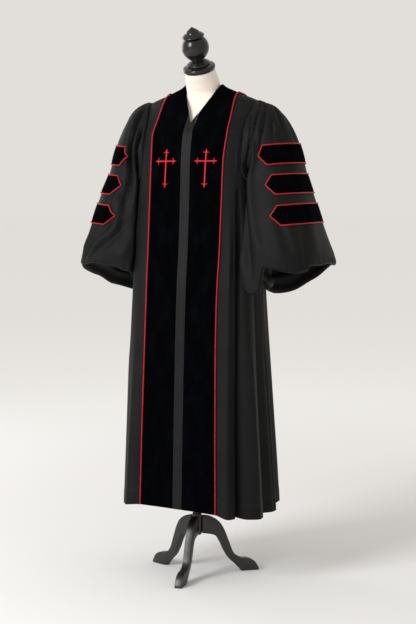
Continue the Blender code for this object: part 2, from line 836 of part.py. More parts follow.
def armhole_root(turn):
    """The armhole's point, its outward direction, and the direction into the hole."""
    point, outward = armhole_place(turn)
    before, _ = armhole_place(turn - ARMHOLE_STEP)
    after, _ = armhole_place(turn + ARMHOLE_STEP)
    inward = outward.cross(after - before).normalized()
    half_way = (TIP_HEIGHT + UNDERARM) / 2.0
    middle = Vector((TIP_HALF, read_table(BODY, half_way).middle, half_way))
    if inward.dot(middle - point) < 0.0:
        inward.negate()
    return point, outward, inward


def sleeve_frame(along):
    """The ring's middle, its outward and forward directions, and the way down the arm."""
    row = read_table(SLEEVE, along)
    lean = radians(row.lean)
    drop = radians(row.drop)
    outward = Vector((cos(lean), 0.0, sin(lean)))
    forward = Vector((0.0, -cos(drop), sin(drop)))
    return row, Vector((row.x, row.y, row.height)), outward, forward, outward.cross(forward).normalized()


def flute_room(height, behind):
    """The room that the body's flutes take at a height, behind or in front of the side seam."""
    top = BACK_FLUTE_TOP if behind else FRONT_FLUTE_TOP
    return FLUTE_ROOM * ease((top - height) / (top - HEM))


def clear_of_body(point):
    """Hold a point of the sleeve just outside the body's side."""
    row = read_table(BODY, point.z)
    behind = point.y > row.middle
    margin = SLEEVE_CLEAR + flute_room(point.z, behind)
    reach = (row.back if behind else row.front) + margin
    power = row.back_power if behind else row.front_power
    rest = 1.0 - (abs(point.y - row.middle) / reach) ** power
    if rest <= 0.0:
        return point
    limit = (row.half_width + margin) * rest ** (1.0 / power)
    limit *= ease((ARMHOLE_CLEAR_TOP - point.z) / ARMHOLE_CLEAR_FADE)
    overlap = limit - point.x
    if overlap > SLEEVE_CLEAR_SOFT:
        point.x = limit
    elif overlap > -SLEEVE_CLEAR_SOFT:
        point.x += (overlap + SLEEVE_CLEAR_SOFT) ** 2 / (4.0 * SLEEVE_CLEAR_SOFT)
    return point


def sleeve_point(turn, along):
    point, outward, inward = armhole_root(turn)
    root = point + inward * (SEAM_GAP + CLOTH / 2.0) + outward * SLEEVE_LIFT * min(along / SLEEVE_ROOT, 1.0)
    if along <= SLEEVE_ROOT:
        return root
    row, middle, out, forward, _ = sleeve_frame(along)
    angle = 2.0 * pi * turn
    section = (middle + out * row.out * signed_power(cos(angle), 2.0 / row.power)
               + forward * row.deep * signed_power(sin(angle), 2.0 / row.power))
    spread = 1.0 - (1.0 - min((along - SLEEVE_ROOT) / SLEEVE_SPREAD, 1.0)) ** 2
    place = root.lerp(section, spread)
    radial = (place - middle).normalized()
    on_top = 0.5 + 0.5 * cos(angle)
    head = HEAD_GATHER_LIFT * on_top * ease((along - SLEEVE_ROOT) / HEAD_GATHER_RISE)
    head *= 1.0 - rise_over(HEAD_GATHER_FADE, along)
    soft = SOFT_FOLD_LIFT * rise_over(SOFT_FOLD_RISE, along)
    cuff = CUFF_GATHER_LIFT * rise_over(CUFF_GATHER_RISE, along)
    lift = head * cos(HEAD_GATHERS * angle) + soft * cos(SOFT_FOLDS * angle + SOFT_FOLD_TURN)
    lift += cuff * cos(2.0 * SOFT_FOLDS * angle)
    lobe = rise_over(FRONT_LOBE_RISE, along) * exp(-((turn - FRONT_LOBE_TURN) / FRONT_LOBE_WIDTH) ** 2)
    lift += FRONT_LOBE_LIFT * lobe
    return clear_of_body(place + radial * lift)


def sleeve_points():
    """Rows of points from the armhole to the hem, then round the roll and up inside."""
    columns = range(SLEEVE_COLUMNS)
    rows = [[sleeve_point(column / SLEEVE_COLUMNS, along) for column in columns] for along in SLEEVE_ROWS]
    _, middle, _, _, down = sleeve_frame(1.0)
    rim = rows[-1]
    inward = []
    for point in rim:
        towards = middle - point
        towards -= down * towards.dot(down)
        inward.append(towards.normalized())
    for step in range(1, CUFF_ROLL_STEPS + 1):
        turn = pi * step / CUFF_ROLL_STEPS
        rows.append([clear_of_body(point + way * CUFF_ROLL * (1.0 - cos(turn)) + down * CUFF_ROLL * sin(turn))
                     for point, way in zip(rim, inward)])
    rows.append([clear_of_body(point + way * CUFF_ROLL * 0.25 - down * CUFF_FACING)
                 for point, way in zip(rows[-1], inward)])
    return rows


def with_normals(points):
    """Pair each point of a grid that meets itself with its outward direction."""
    rows = []
    last = len(points) - 1
    width = len(points[0])
    for i, row in enumerate(points):
        below = points[min(i + 1, last)]
        above = points[max(i - 1, 0)]
        pairs = []
        for j, point in enumerate(row):
            round_it = row[(j + 1) % width] - row[j - 1]
            pairs.append((point, round_it.cross(below[j] - above[j]).normalized()))
        rows.append(pairs)
    return rows


def flip(place):
    """The same place on the wearer's right."""
    point, normal = place
    return Vector((-point.x, point.y, point.z)), Vector((-normal.x, normal.y, normal.z))


def mirrored(rows, side):
    if side == LEFT:
        return rows
    return [[flip(place) for place in row] for row in rows]


def make_sleeve(side, sleeve, material):
    return wall("sleeve_" + SIDE_NAMES[side], mirrored(sleeve, side), CLOTH, material, closed=True)


def sleeve_column_at(sleeve, column, height):
    """The place where one column of the sleeve crosses a height."""
    previous = None
    for row in sleeve[1:len(SLEEVE_ROWS)]:
        point, normal = row[column % SLEEVE_COLUMNS]
        if previous and point.z <= height <= previous[0].z:
            share = (previous[0].z - height) / (previous[0].z - point.z)
            return previous[0].lerp(point, share), previous[1].lerp(normal, share).normalized()
        previous = (point, normal)
    return previous


def sleeve_at(sleeve, turn, height):
    """The place on the sleeve at a turn and a height."""
    position = turn * SLEEVE_COLUMNS
    column = floor(position)
    share = position - column
    point, normal = sleeve_column_at(sleeve, column, height)
    if share < 1e-6:
        return point, normal
    next_point, next_normal = sleeve_column_at(sleeve, column + 1, height)
    return point.lerp(next_point, share), normal.lerp(next_normal, share).normalized()


def bar_stations(bar, grow):
    """Turns along a bar from its front point to its rear point, with the half height at each."""
    tip = bar.point + grow * 1.4 / SLEEVE_GIRTH
    shoulder = bar.point - (BAR_POINT - grow * 0.5) / SLEEVE_GIRTH
    turns = [column / SLEEVE_COLUMNS for column in range(-SLEEVE_COLUMNS // 2, SLEEVE_COLUMNS // 2)]
    turns = [turn for turn in turns if abs(turn) < tip - BAR_COLUMN_CLEARANCE
             and abs(abs(turn) - shoulder) > BAR_COLUMN_CLEARANCE]
    turns += [tip, shoulder, -shoulder, -tip]
    stations = []
    for turn in sorted(turns, reverse=True):
        pointed = max((abs(turn) - shoulder) / (tip - shoulder), 0.0)
        stations.append((turn, lerp(BAR_HALF_HEIGHT + grow, BAR_TIP, pointed)))
    return stations


def bar_line(bar, turn):
    return bar.height + bar.rise * cos(2.0 * pi * turn)


def make_bar(side, number, bar, sleeve, material):
    rows = []
    for part in (1.0, 0.5, 0.0, -0.5, -1.0):
        rows.append([sleeve_at(sleeve, turn, bar_line(bar, turn) + part * half)
                     for turn, half in bar_stations(bar, 0.0)])
    rise = CLOTH / 2.0 + BAR_LAID_ON + BAR_VELVET / 2.0
    name = "bar_%s_%d" % (SIDE_NAMES[side], number)
    return wall(name, mirrored(rows, side), BAR_VELVET, material, rise=rise)


def make_bar_piping(side, number, bar, sleeve, material):
    rise = CLOTH / 2.0 + BAR_LAID_ON + BAR_PIPING_RADIUS
    stations = bar_stations(bar, BAR_PIPING_RADIUS + SEAM_GAP)
    top = [sleeve_at(sleeve, turn, bar_line(bar, turn) + half) for turn, half in stations]
    foot = [sleeve_at(sleeve, turn, bar_line(bar, turn) - half) for turn, half in stations]
    path = [raised(place, rise) for place in top + foot[::-1]]
    if side == RIGHT:
        path = [flip(place) for place in path]
    name = "bar_piping_%s_%d" % (SIDE_NAMES[side], number)
    return cord(name, path, BAR_PIPING_RADIUS, 4, material, closed=True)


# --- Dress form and stand --------------------------------------------------------------------

def make_form_body(material):
    """Torso and neck in one smooth padded piece, flat below and at the top of the neck."""
    levels = [row.height for row in FORM]
    points = []
    for level in levels:
        row = read_table(FORM, level)
        lean = radians(row.lean)
        forward = Vector((0.0, -cos(lean), -sin(lean)))
        middle = Vector((0.0, row.middle, level))
        for column in range(FORM_COLUMNS):
            angle = 2.0 * pi * column / FORM_COLUMNS
            reach = row.front if cos(angle) > 0.0 else row.back
            sideways = Vector((row.half_width * sin(angle), 0.0, 0.0))
            points.append(middle + sideways + forward * reach * cos(angle))
    faces = []
    for ring in range(len(levels) - 1):
        for column in range(FORM_COLUMNS):
            other = (column + 1) % FORM_COLUMNS
            here = ring * FORM_COLUMNS
            there = here + FORM_COLUMNS
            faces.append((here + column, here + other, there + other, there + column))
    faces.append(tuple(reversed(range(FORM_COLUMNS))))
    faces.append(tuple(len(points) - FORM_COLUMNS + column for column in range(FORM_COLUMNS)))
    return add_solid("form_body", points, faces, material)


def turned_piece(name, profile, foot, lean, material):
    """A turned solid, flat at both ends, about an axis that leans forward."""
    lift = Matrix.Rotation(radians(lean), 4, 'X')
    points = []
    for station in profile:
        for side in range(TURNED_SIDES):
            turn = 2.0 * pi * side / TURNED_SIDES
            spot = Vector((station.radius * cos(turn), station.radius * sin(turn), station.along))
            points.append(foot + lift @ spot)
    faces = []
    for ring in range(len(profile) - 1):
        for side in range(TURNED_SIDES):
            other = (side + 1) % TURNED_SIDES
            here = ring * TURNED_SIDES
            there = here + TURNED_SIDES
            faces.append((here + side, here + other, there + other, there + side))
    faces.append(tuple(reversed(range(TURNED_SIDES))))
    faces.append(tuple(len(points) - TURNED_SIDES + side for side in range(TURNED_SIDES)))
    return add_solid(name, points, faces, material)


def ball_profile():
    """Stations of the finial's ball between its lower and upper necks."""
    stations = []
    for step in range(1, BALL_STEPS):
        turn = pi * lerp(BALL_FROM, BALL_TO, step / BALL_STEPS)
        stations.append(Turned(BALL_ALONG - BALL_RADIUS * cos(turn), BALL_RADIUS * sin(turn)))
    return tuple(stations)


def make_neck_cap(material):
    return turned_piece("neck_cap", CAP_PROFILE, Vector((0.0, *CAP_FOOT)), NECK_LEAN, material)


def make_finial(material):
    profile = FINIAL_PROFILE[:-1] + ball_profile() + SPIRE_PROFILE
    return turned_piece("finial", profile, Vector((0.0, *CAP_FOOT)), NECK_LEAN, material)


def make_column(material):
    profile = (Turned(HUB_TOP + SEAM_GAP, COLUMN_RADIUS), Turned(COLUMN_TOP, COLUMN_RADIUS))
    return turned_piece("column", profile, Vector((0.0, COLUMN_Y, 0.0)), 0.0, material)


def make_hub(material):
    profile = (
        Turned(HUB_BOTTOM, HUB_RADIUS - HUB_ROUND),
        Turned(HUB_BOTTOM + HUB_ROUND, HUB_RADIUS),
        Turned(HUB_TOP - HUB_ROUND, HUB_RADIUS),
        Turned(HUB_TOP, HUB_RADIUS - HUB_ROUND),
    )
    return turned_piece("hub", profile, Vector((0.0, COLUMN_Y, 0.0)), 0.0, material)


def smooth_edge(edge):
    """A curve through the points of an edge."""
    spots = [Vector((place.reach, place.height)) for place in edge]
    curve = []
    for index in range(len(spots) - 1):
        p0 = spots[max(index - 1, 0)]
        p1 = spots[index]
        p2 = spots[index + 1]
        p3 = spots[min(index + 2, len(spots) - 1)]
        for step in range(LEG_STEPS if index < len(spots) - 2 else LEG_STEPS + 1):
            t = step / LEG_STEPS
            curve.append(0.5 * (2.0 * p1 + (p2 - p0) * t + (2.0 * p0 - 5.0 * p1 + 4.0 * p2 - p3) * t * t
                                + (3.0 * p1 - p0 - 3.0 * p2 + p3) * t ** 3))
    return curve


def make_leg(number, material):
    """A sawn cabriole leg: an outline of even thickness, with a flat sole."""
    sole = [Vector((reach, 0.0)) for reach in LEG_SOLE]
    outline = smooth_edge(LEG_UPPER)[::2] + sole + smooth_edge(LEG_LOWER)[::2]
    angle = radians(LEG_TURN + 360.0 * (number - 1) / LEG_COUNT)
    along = Vector((sin(angle), -cos(angle), 0.0))
    across = Vector((cos(angle), sin(angle), 0.0))
    start = Vector((0.0, COLUMN_Y, 0.0))
    count = len(outline)
    points = []
    for offset in (-LEG_THICK / 2.0, LEG_THICK / 2.0):
        points += [start + along * spot.x + across * offset + Vector((0.0, 0.0, spot.y)) for spot in outline]
    faces = [tuple(range(count)), tuple(count + index for index in reversed(range(count)))]
    for index in range(count):
        other = (index + 1) % count
        faces.append((index, index + count, other + count, other))
    return add_solid("leg_%d" % number, points, faces, material, smooth=False)


# --- The whole object ------------------------------------------------------------------------

for old in list(bpy.data.objects):
    bpy.data.objects.remove(old, do_unlink=True)

gown_cloth = paint("gown_cloth", (0.020, 0.020, 0.022), 0.75)
band_cloth = paint("band_cloth", (0.035, 0.035, 0.038), 0.60)
velvet = paint("velvet", (0.006, 0.006, 0.009), 0.90)
red_piping = paint("red_piping", (0.45, 0.012, 0.025), 0.50)
cream_linen = paint("cream_linen", (0.86, 0.78, 0.68), 0.85)
black_lacquer = paint("black_lacquer", (0.010, 0.009, 0.009), 0.12)
black_wood = paint("black_wood", (0.020, 0.019, 0.019), 0.35)

make_form_body(cream_linen)
make_neck_cap(black_lacquer)
make_finial(black_lacquer)
make_column(black_wood)
make_hub(black_wood)
for leg_number in range(1, LEG_COUNT + 1):
    make_leg(leg_number, black_wood)

make_back(gown_cloth)
make_yoke_back(gown_cloth)
make_velvet_neck(velvet)
make_piping(red_piping)
sleeve_rows = with_normals(sleeve_points())
for gown_side in (RIGHT, LEFT):
    make_front(gown_side, gown_cloth)
    make_yoke(gown_side, gown_cloth)
    make_velvet(gown_side, velvet)
    make_band(gown_side, band_cloth)
    make_sleeve(gown_side, sleeve_rows, gown_cloth)
    for bar_number, sleeve_bar in enumerate(BARS, 1):
        make_bar(gown_side, bar_number, sleeve_bar, sleeve_rows, velvet)
        make_bar_piping(gown_side, bar_number, sleeve_bar, sleeve_rows, red_piping)
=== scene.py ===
"""A graduation gown with velvet fronts and barred sleeves, standing on a dress form.

Metres, +Z up.  The gown's front faces -Y and the wearer's left is +X.  The sections follow the
object as it is put together: the room and the light, the dress form and its stand, the gown's
cloth panels, the velvet, the centre strips, the piping, the sleeves with their bars, and last
the embroidery and the stitching.
"""
from bisect import bisect_left
from collections import namedtuple
from functools import lru_cache
from math import cos, exp, floor, pi, radians, sin, sqrt

import bpy
import numpy as np
from mathutils import Matrix, Vector


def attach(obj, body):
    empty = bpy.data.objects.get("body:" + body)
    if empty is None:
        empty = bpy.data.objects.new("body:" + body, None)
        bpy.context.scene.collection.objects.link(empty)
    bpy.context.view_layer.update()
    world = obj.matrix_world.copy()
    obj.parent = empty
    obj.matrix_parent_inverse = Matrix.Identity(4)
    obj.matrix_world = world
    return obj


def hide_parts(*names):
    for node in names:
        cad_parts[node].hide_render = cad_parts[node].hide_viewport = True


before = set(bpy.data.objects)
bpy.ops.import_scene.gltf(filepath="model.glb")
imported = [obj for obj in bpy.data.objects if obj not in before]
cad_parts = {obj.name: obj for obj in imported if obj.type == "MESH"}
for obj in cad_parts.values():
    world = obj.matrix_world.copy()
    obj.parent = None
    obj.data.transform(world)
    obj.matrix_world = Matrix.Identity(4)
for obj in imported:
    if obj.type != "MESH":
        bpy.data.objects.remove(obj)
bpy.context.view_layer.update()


# --- Camera ----------------------------------------------------------------------------------
# A long lens, a little under five metres away at chest height, looks slightly down.  It stands
# towards the wearer's left, so that the left sleeve and the left side of the skirt are nearer.

CAMERA_AZIMUTH = 25.0
CAMERA_DISTANCE = 4.80
CAMERA_HEIGHT = 1.24
CAMERA_PITCH = 4.72
CAMERA_TURN = 0.42
FILM_LONG_SIDE = 36.0
CAMERA_LENS = 87.35
COLUMN_Y = -0.030


def add_object(name, data):
    """An object in the scene for this mesh, light or camera."""
    piece = bpy.data.objects.new(name, data)
    bpy.context.scene.collection.objects.link(piece)
    return piece


camera_data = bpy.data.cameras.new("camera")
camera_data.sensor_width = FILM_LONG_SIDE
camera_data.lens = CAMERA_LENS
camera = add_object("camera", camera_data)
camera.location = (
    CAMERA_DISTANCE * sin(radians(CAMERA_AZIMUTH)),
    COLUMN_Y - CAMERA_DISTANCE * cos(radians(CAMERA_AZIMUTH)),
    CAMERA_HEIGHT,
)
camera.rotation_euler = (radians(90.0 - CAMERA_PITCH), 0.0, radians(CAMERA_AZIMUTH - CAMERA_TURN))
bpy.context.scene.camera = camera


# --- Studio ----------------------------------------------------------------------------------
# A pale floor runs out to a pale, even surround, so that the room looks alike from every side; the
# floor has painted shade near the stand and painted light further out.
# One large soft box hangs to the front left, and a narrow one stands behind left.

FLOOR_RADIUS = 60.0
FLOOR_SIDES = 96
FLOOR_NEAR_PAINTED_SHADE = (0.780, 0.772, 0.768, 1.0)
FLOOR_FAR_PAINTED_LIGHT = (0.985, 0.985, 0.985, 1.0)
FLOOR_PAINTED_LIGHT_FADE = (0.8, 4.5)
SURROUND_COLOUR = (1.0, 0.970, 0.921, 1.0)
SURROUND_STRENGTH = 0.76


def add_node(tree, kind, inputs, **settings):
    """A node of a tree, its inputs set or linked to the outputs given; returns its outputs."""
    node = tree.nodes.new(kind)
    for name, value in settings.items():
        setattr(node, name, value)
    for name, value in inputs.items():
        if isinstance(value, bpy.types.NodeSocket):
            tree.links.new(value, node.inputs[name])
        else:
            node.inputs[name].default_value = value
    return node.outputs


def colour_by(tree, inputs, value, low, high, dark, light):
    """Colour the surface from dark to light, by a value between low and high."""
    ramp = tree.nodes.new("ShaderNodeValToRGB")
    for stop, position, colour in zip(ramp.color_ramp.elements, (low, high), (dark, light)):
        stop.position = position
        stop.color = colour
    tree.links.new(value, ramp.inputs["Fac"])
    tree.links.new(ramp.outputs["Color"], inputs["Base Color"])


def new_material(name, colour, roughness, finish=None):
    """A Principled material; returns it with its tree and its shader's inputs."""
    material = bpy.data.materials.new(name)
    material.use_nodes = True
    inputs = material.node_tree.nodes["Principled BSDF"].inputs
    inputs["Base Color"].default_value = colour
    inputs["Roughness"].default_value = roughness
    for socket, value in (finish or {}).items():
        inputs[socket].default_value = value
    return material, material.node_tree, inputs


def object_space(tree):
    return add_node(tree, "ShaderNodeTexCoord", {})["Object"]


def floor_painted_light():
    paint, tree, inputs = new_material("pale_floor_painted_light", FLOOR_NEAR_PAINTED_SHADE, 0.95, {"Specular IOR Level": 0.05})
    # Painted light and shade: by distance from the middle, the floor's colour goes from darker near
    # the stand, as painted shade under the soft box, to paler far off, as painted light.
    away = add_node(tree, "ShaderNodeVectorMath", {0: object_space(tree)}, operation="LENGTH")
    fade = add_node(tree, "ShaderNodeMapRange", {
        "Value": away["Value"], "From Min": FLOOR_PAINTED_LIGHT_FADE[0], "From Max": FLOOR_PAINTED_LIGHT_FADE[1],
    }, interpolation_type="SMOOTHSTEP")
    colour_by(tree, inputs, fade["Result"], 0.0, 1.0, FLOOR_NEAR_PAINTED_SHADE, FLOOR_FAR_PAINTED_LIGHT)
    return paint


def studio_floor():
    """A wide round floor, with painted shade close to the stand, where the soft box lights it, and
    painted light further out.
    """
    points = [(0.0, 0.0, 0.0)]
    for side in range(FLOOR_SIDES):
        turn = 2.0 * pi * side / FLOOR_SIDES
        points.append((FLOOR_RADIUS * cos(turn), FLOOR_RADIUS * sin(turn), 0.0))
    faces = [(0, side + 1, (side + 1) % FLOOR_SIDES + 1) for side in range(FLOOR_SIDES)]
    mesh = bpy.data.meshes.new("studio_floor")
    mesh.from_pydata(points, [], faces)
    mesh.materials.append(floor_painted_light())
    add_object("studio_floor", mesh)


def soft_box(name, spot, aim, width, height, watts, colour):
    data = bpy.data.lights.new(name, "AREA")
    data.shape = "RECTANGLE"
    data.size = width
    data.size_y = height
    data.energy = watts
    data.color = colour
    light = add_object(name, data)
    light.location = spot
    light.rotation_euler = (Vector(aim) - Vector(spot)).to_track_quat("-Z", "Y").to_euler()


studio_floor()
soft_box("key_box", (-1.7, -4.0, 3.0), (0.0, 0.0, 1.1), 1.7, 2.1, 190.0, (0.97, 0.985, 1.0))
soft_box("rim_box", (-3.0, 1.2, 2.3), (0.0, 0.0, 1.2), 0.8, 1.8, 16.0, (0.98, 0.99, 1.0))
world = bpy.data.worlds.new("studio")
world.use_nodes = True
world.node_tree.nodes["Background"].inputs["Color"].default_value = SURROUND_COLOUR
world.node_tree.nodes["Background"].inputs["Strength"].default_value = SURROUND_STRENGTH
bpy.context.scene.world = world
bpy.context.scene.view_settings.view_transform = "Standard"


# --- Dress form: padded torso and neck -------------------------------------------------------
# A papier-mache bust, padded and covered in cream cotton jersey.  Only the neck shows above the
# gown and only the flat underside from below; it leans forward at the neck.

def table(kind, rows):
    """A table whose rows have named columns."""
    return tuple(kind(*row) for row in rows)


FormRing = namedtuple("FormRing", "height half_width middle front back lean")
FORM = table(FormRing, (
    (0.800, 0.150, -0.006, 0.100, 0.096, 0.0),
    (0.830, 0.166, -0.006, 0.112, 0.108, 0.0),
    (0.900, 0.172, -0.004, 0.116, 0.112, 0.0),
    (0.980, 0.158, -0.002, 0.104, 0.100, 0.0),
    (1.070, 0.128, 0.000, 0.086, 0.080, 0.0),
    (1.150, 0.134, 0.000, 0.094, 0.084, 0.0),
    (1.235, 0.152, 0.002, 0.108, 0.094, 0.0),
    (1.315, 0.164, 0.006, 0.110, 0.098, 0.0),
    (1.390, 0.168, 0.014, 0.100, 0.090, 0.0),
    (1.440, 0.168, 0.022, 0.080, 0.078, 0.0),
    (1.480, 0.150, 0.027, 0.056, 0.060, 0.0),
    (1.505, 0.110, 0.028, 0.046, 0.052, 0.0),
    (1.522, 0.070, 0.026, 0.043, 0.048, 0.0),
    (1.540, 0.056, 0.024, 0.045, 0.047, 4.0),
    (1.562, 0.055, 0.018, 0.050, 0.050, 10.0),
    (1.585, 0.051, 0.005, 0.050, 0.049, 18.0),
    (1.606, 0.048, -0.008, 0.048, 0.048, 25.0),
))
FORM_COLUMNS = 96
FORM_RINGS_BETWEEN = 5
FORM_CRISP = 50.0
LINEN_COLOUR = (0.795, 0.715, 0.640, 1.0)
LINEN_SHADE = (0.755, 0.672, 0.590, 1.0)
LINEN_RIB_SCALE = 900.0


def lerp(a, b, share):
    return a + (b - a) * share


def ease(share):
    """A smooth step from 0 to 1."""
    share = min(max(share, 0.0), 1.0)
    return share * share * (3.0 - 2.0 * share)


def slope_at(rows, index, column):
    """The slope of one column at a row, limited so that the curve never overshoots."""
    def secant(first):
        low = rows[first]
        high = rows[first + 1]
        return (high[column] - low[column]) / (high[0] - low[0])
    if index == 0:
        return secant(0)
    if index == len(rows) - 1:
        return secant(index - 1)
    before = secant(index - 1)
    after = secant(index)
    if before * after <= 0.0:
        return 0.0
    return 2.0 * before * after / (before + after)


@lru_cache(maxsize=None)
def read_table(rows, key):
    """The row of a table at any value of its first column, on a smooth curve."""
    if key <= rows[0][0]:
        return rows[0]
    if key >= rows[-1][0]:
        return rows[-1]
    upper = bisect_left([row[0] for row in rows], key)
    low = rows[upper - 1]
    high = rows[upper]
    span = high[0] - low[0]
    t = (key - low[0]) / span
    values = [key]
    for column in range(1, len(low)):
        start = slope_at(rows, upper - 1, column) * span
        end = slope_at(rows, upper, column) * span
        rise = high[column] - low[column]
        bend = 3.0 * rise - 2.0 * start - end + t * (start + end - 2.0 * rise)
        values.append(low[column] + t * (start + t * bend))
    return type(low)(*values)


def new_piece(name, points, faces, material, crisp=None):
    """A mesh of its own in the scene, shaded smooth, and crisp only over the angle given."""
    mesh = bpy.data.meshes.new(name)
    mesh.from_pydata([tuple(point) for point in points], [], faces)
    mesh.shade_smooth()
    if crisp is not None:
        mesh.set_sharp_from_angle(angle=radians(crisp))
    mesh.materials.append(material)
    return add_object(name, mesh)


def tube_faces(rings, columns):
    """Faces of a closed tube of rings, with a flat face at each end, pointing out."""
    faces = []
    for ring in range(rings - 1):
        for column in range(columns):
            other = (column + 1) % columns
            here = ring * columns
            there = here + columns
            faces.append((here + column, here + other, there + other, there + column))
    faces.append(tuple(reversed(range(columns))))
    faces.append(tuple((rings - 1) * columns + column for column in range(columns)))
    return faces


def add_noise(tree, vector, scale, detail=3.0, stretch=None):
    """A noise pattern, stretched by its own scale on each axis if one is given."""
    if stretch is not None:
        vector = add_node(tree, "ShaderNodeMapping", {"Vector": vector, "Scale": stretch})["Vector"]
    noise = {"Vector": vector, "Scale": scale, "Detail": detail}
    return add_node(tree, "ShaderNodeTexNoise", noise)["Fac"]


def add_range(tree, value, low, high):
    """Spread a value of 0 to 1 over low to high."""
    spread = {"Value": value, "To Min": low, "To Max": high}
    return add_node(tree, "ShaderNodeMapRange", spread)["Result"]


def add_bump(tree, inputs, height, strength, distance):
    bump = {"Height": height, "Strength": strength, "Distance": distance}
    tree.links.new(add_node(tree, "ShaderNodeBump", bump)["Normal"], inputs["Normal"])


def jersey_cover():
    material, tree, inputs = new_material("cream_jersey", LINEN_COLOUR, 0.85, {
        "Sheen Weight": 0.25, "Sheen Roughness": 0.5})
    space = object_space(tree)
    tone = add_noise(tree, space, 14.0, 4.0)
    colour_by(tree, inputs, tone, 0.35, 0.70, LINEN_SHADE, LINEN_COLOUR)
    ribs = add_noise(tree, space, LINEN_RIB_SCALE, 2.0, (2.6, 2.6, 1.0))
    add_bump(tree, inputs, ribs, 0.35, 0.0006)
    return material


def form_point(height, angle):
    row = read_table(FORM, height)
    lean = radians(row.lean)
    forward = Vector((0.0, -cos(lean), -sin(lean)))
    reach = row.front if cos(angle) > 0.0 else row.back
    sideways = Vector((row.half_width * sin(angle), 0.0, 0.0))
    return Vector((0.0, row.middle, height)) + sideways + forward * reach * cos(angle)


def make_form():
    heights = []
    for low, high in zip(FORM, FORM[1:]):
        heights += [lerp(low.height, high.height, step / FORM_RINGS_BETWEEN)
                    for step in range(FORM_RINGS_BETWEEN)]
    heights.append(FORM[-1].height)
    points = [form_point(height, 2.0 * pi * column / FORM_COLUMNS)
              for height in heights for column in range(FORM_COLUMNS)]
    faces = tube_faces(len(heights), FORM_COLUMNS)
    form = new_piece("form_cover", points, faces, jersey_cover(), crisp=FORM_CRISP)
    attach(form, "root")
    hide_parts("form_body")


make_form()


# --- Neck cap and finial ---------------------------------------------------------------------
# Two turned pieces of beech, lacquered glossy black: a flat moulded cap on the neck, and a ball
# finial with a bell foot and a pointed, brimmed top.  Both stand on the neck's leaning axis.

NECK_LEAN = 25.0
CAP_FOOT = (-0.0088, 1.6078)
Turned = namedtuple("Turned", "along radius")
CAP_PROFILE = table(Turned, (
    (0.0000, 0.0478), (0.0008, 0.0494), (0.0024, 0.0506), (0.0050, 0.0513), (0.0080, 0.0515),
    (0.0106, 0.0510), (0.0128, 0.0498), (0.0144, 0.0476), (0.0150, 0.0452), (0.0153, 0.0420),
    (0.0163, 0.0404), (0.0165, 0.0380),
))
FOOT_PROFILE = table(Turned, (
    (0.0168, 0.0352), (0.0176, 0.0362), (0.0200, 0.0366), (0.0232, 0.0362), (0.0246, 0.0350),
    (0.0254, 0.0318), (0.0276, 0.0300), (0.0304, 0.0262), (0.0326, 0.0226), (0.0342, 0.0212),
    (0.0354, 0.0216), (0.0366, 0.0226),
))
BALL_ALONG = 0.0745
BALL_RADIUS = 0.0428
BALL_STEPS = 40
BALL_FROM = 0.178
BALL_TO = 0.790
SPIRE_PROFILE = table(Turned, (
    (0.1078, 0.0272), (0.1086, 0.0318), (0.1098, 0.0342), (0.1114, 0.0350), (0.1130, 0.0346),
    (0.1144, 0.0330), (0.1160, 0.0312), (0.1184, 0.0290), (0.1206, 0.0252), (0.1216, 0.0226),
    (0.1240, 0.0212), (0.1276, 0.0186), (0.1318, 0.0136), (0.1360, 0.0080), (0.1392, 0.0038),
    (0.1408, 0.0014),
))
TURNED_SIDES = 96
TURNED_CRISP = 42.0
LACQUER_COLOUR = (0.0075, 0.0068, 0.0066, 1.0)


def black_lacquer():
    material, tree, inputs = new_material("black_lacquer", LACQUER_COLOUR, 0.16, {
        "Specular IOR Level": 0.22, "Coat Weight": 0.30, "Coat Roughness": 0.06})
    space = object_space(tree)
    rough = add_noise(tree, space, 22.0, 4.0)
    tree.links.new(add_range(tree, rough, 0.16, 0.34), inputs["Roughness"])
    rings = add_noise(tree, space, 60.0, 3.0, (1.0, 1.0, 9.0))
    add_bump(tree, inputs, rings, 0.10, 0.0006)
    return material


def turned_piece(name, profile, foot, lean, sides, material):
    """A turned solid, flat at both ends, about an axis that leans forward."""
    tilt = Matrix.Rotation(radians(lean), 4, "X")
    points = []
    for station in profile:
        for side in range(sides):
            turn = 2.0 * pi * side / sides
            spot = Vector((station.radius * cos(turn), station.radius * sin(turn), station.along))
            points.append(foot + tilt @ spot)
    return new_piece(name, points, tube_faces(len(profile), sides), material, crisp=TURNED_CRISP)


def make_neck_top():
    lacquer = black_lacquer()
    foot = Vector((0.0, *CAP_FOOT))
    cap = turned_piece("neck_cap_turned", CAP_PROFILE, foot, NECK_LEAN, TURNED_SIDES, lacquer)
    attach(cap, "root")
    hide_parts("neck_cap")
    ball = []
    for step in range(BALL_STEPS + 1):
        turn = pi * lerp(BALL_FROM, BALL_TO, step / BALL_STEPS)
        ball.append(Turned(BALL_ALONG - BALL_RADIUS * cos(turn), BALL_RADIUS * sin(turn)))
    profile = FOOT_PROFILE + tuple(ball) + SPIRE_PROFILE
    finial = turned_piece("finial_turned", profile, foot, NECK_LEAN, TURNED_SIDES, lacquer)
    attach(finial, "root")
    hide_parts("finial")


make_neck_top()


# --- Stand -----------------------------------------------------------------------------------
# A round column drops from the bust into a turned wooden hub.  Three cabriole legs, sawn from
# board with softened edges, are screwed to the hub and stand on flat soles; all is satin black.

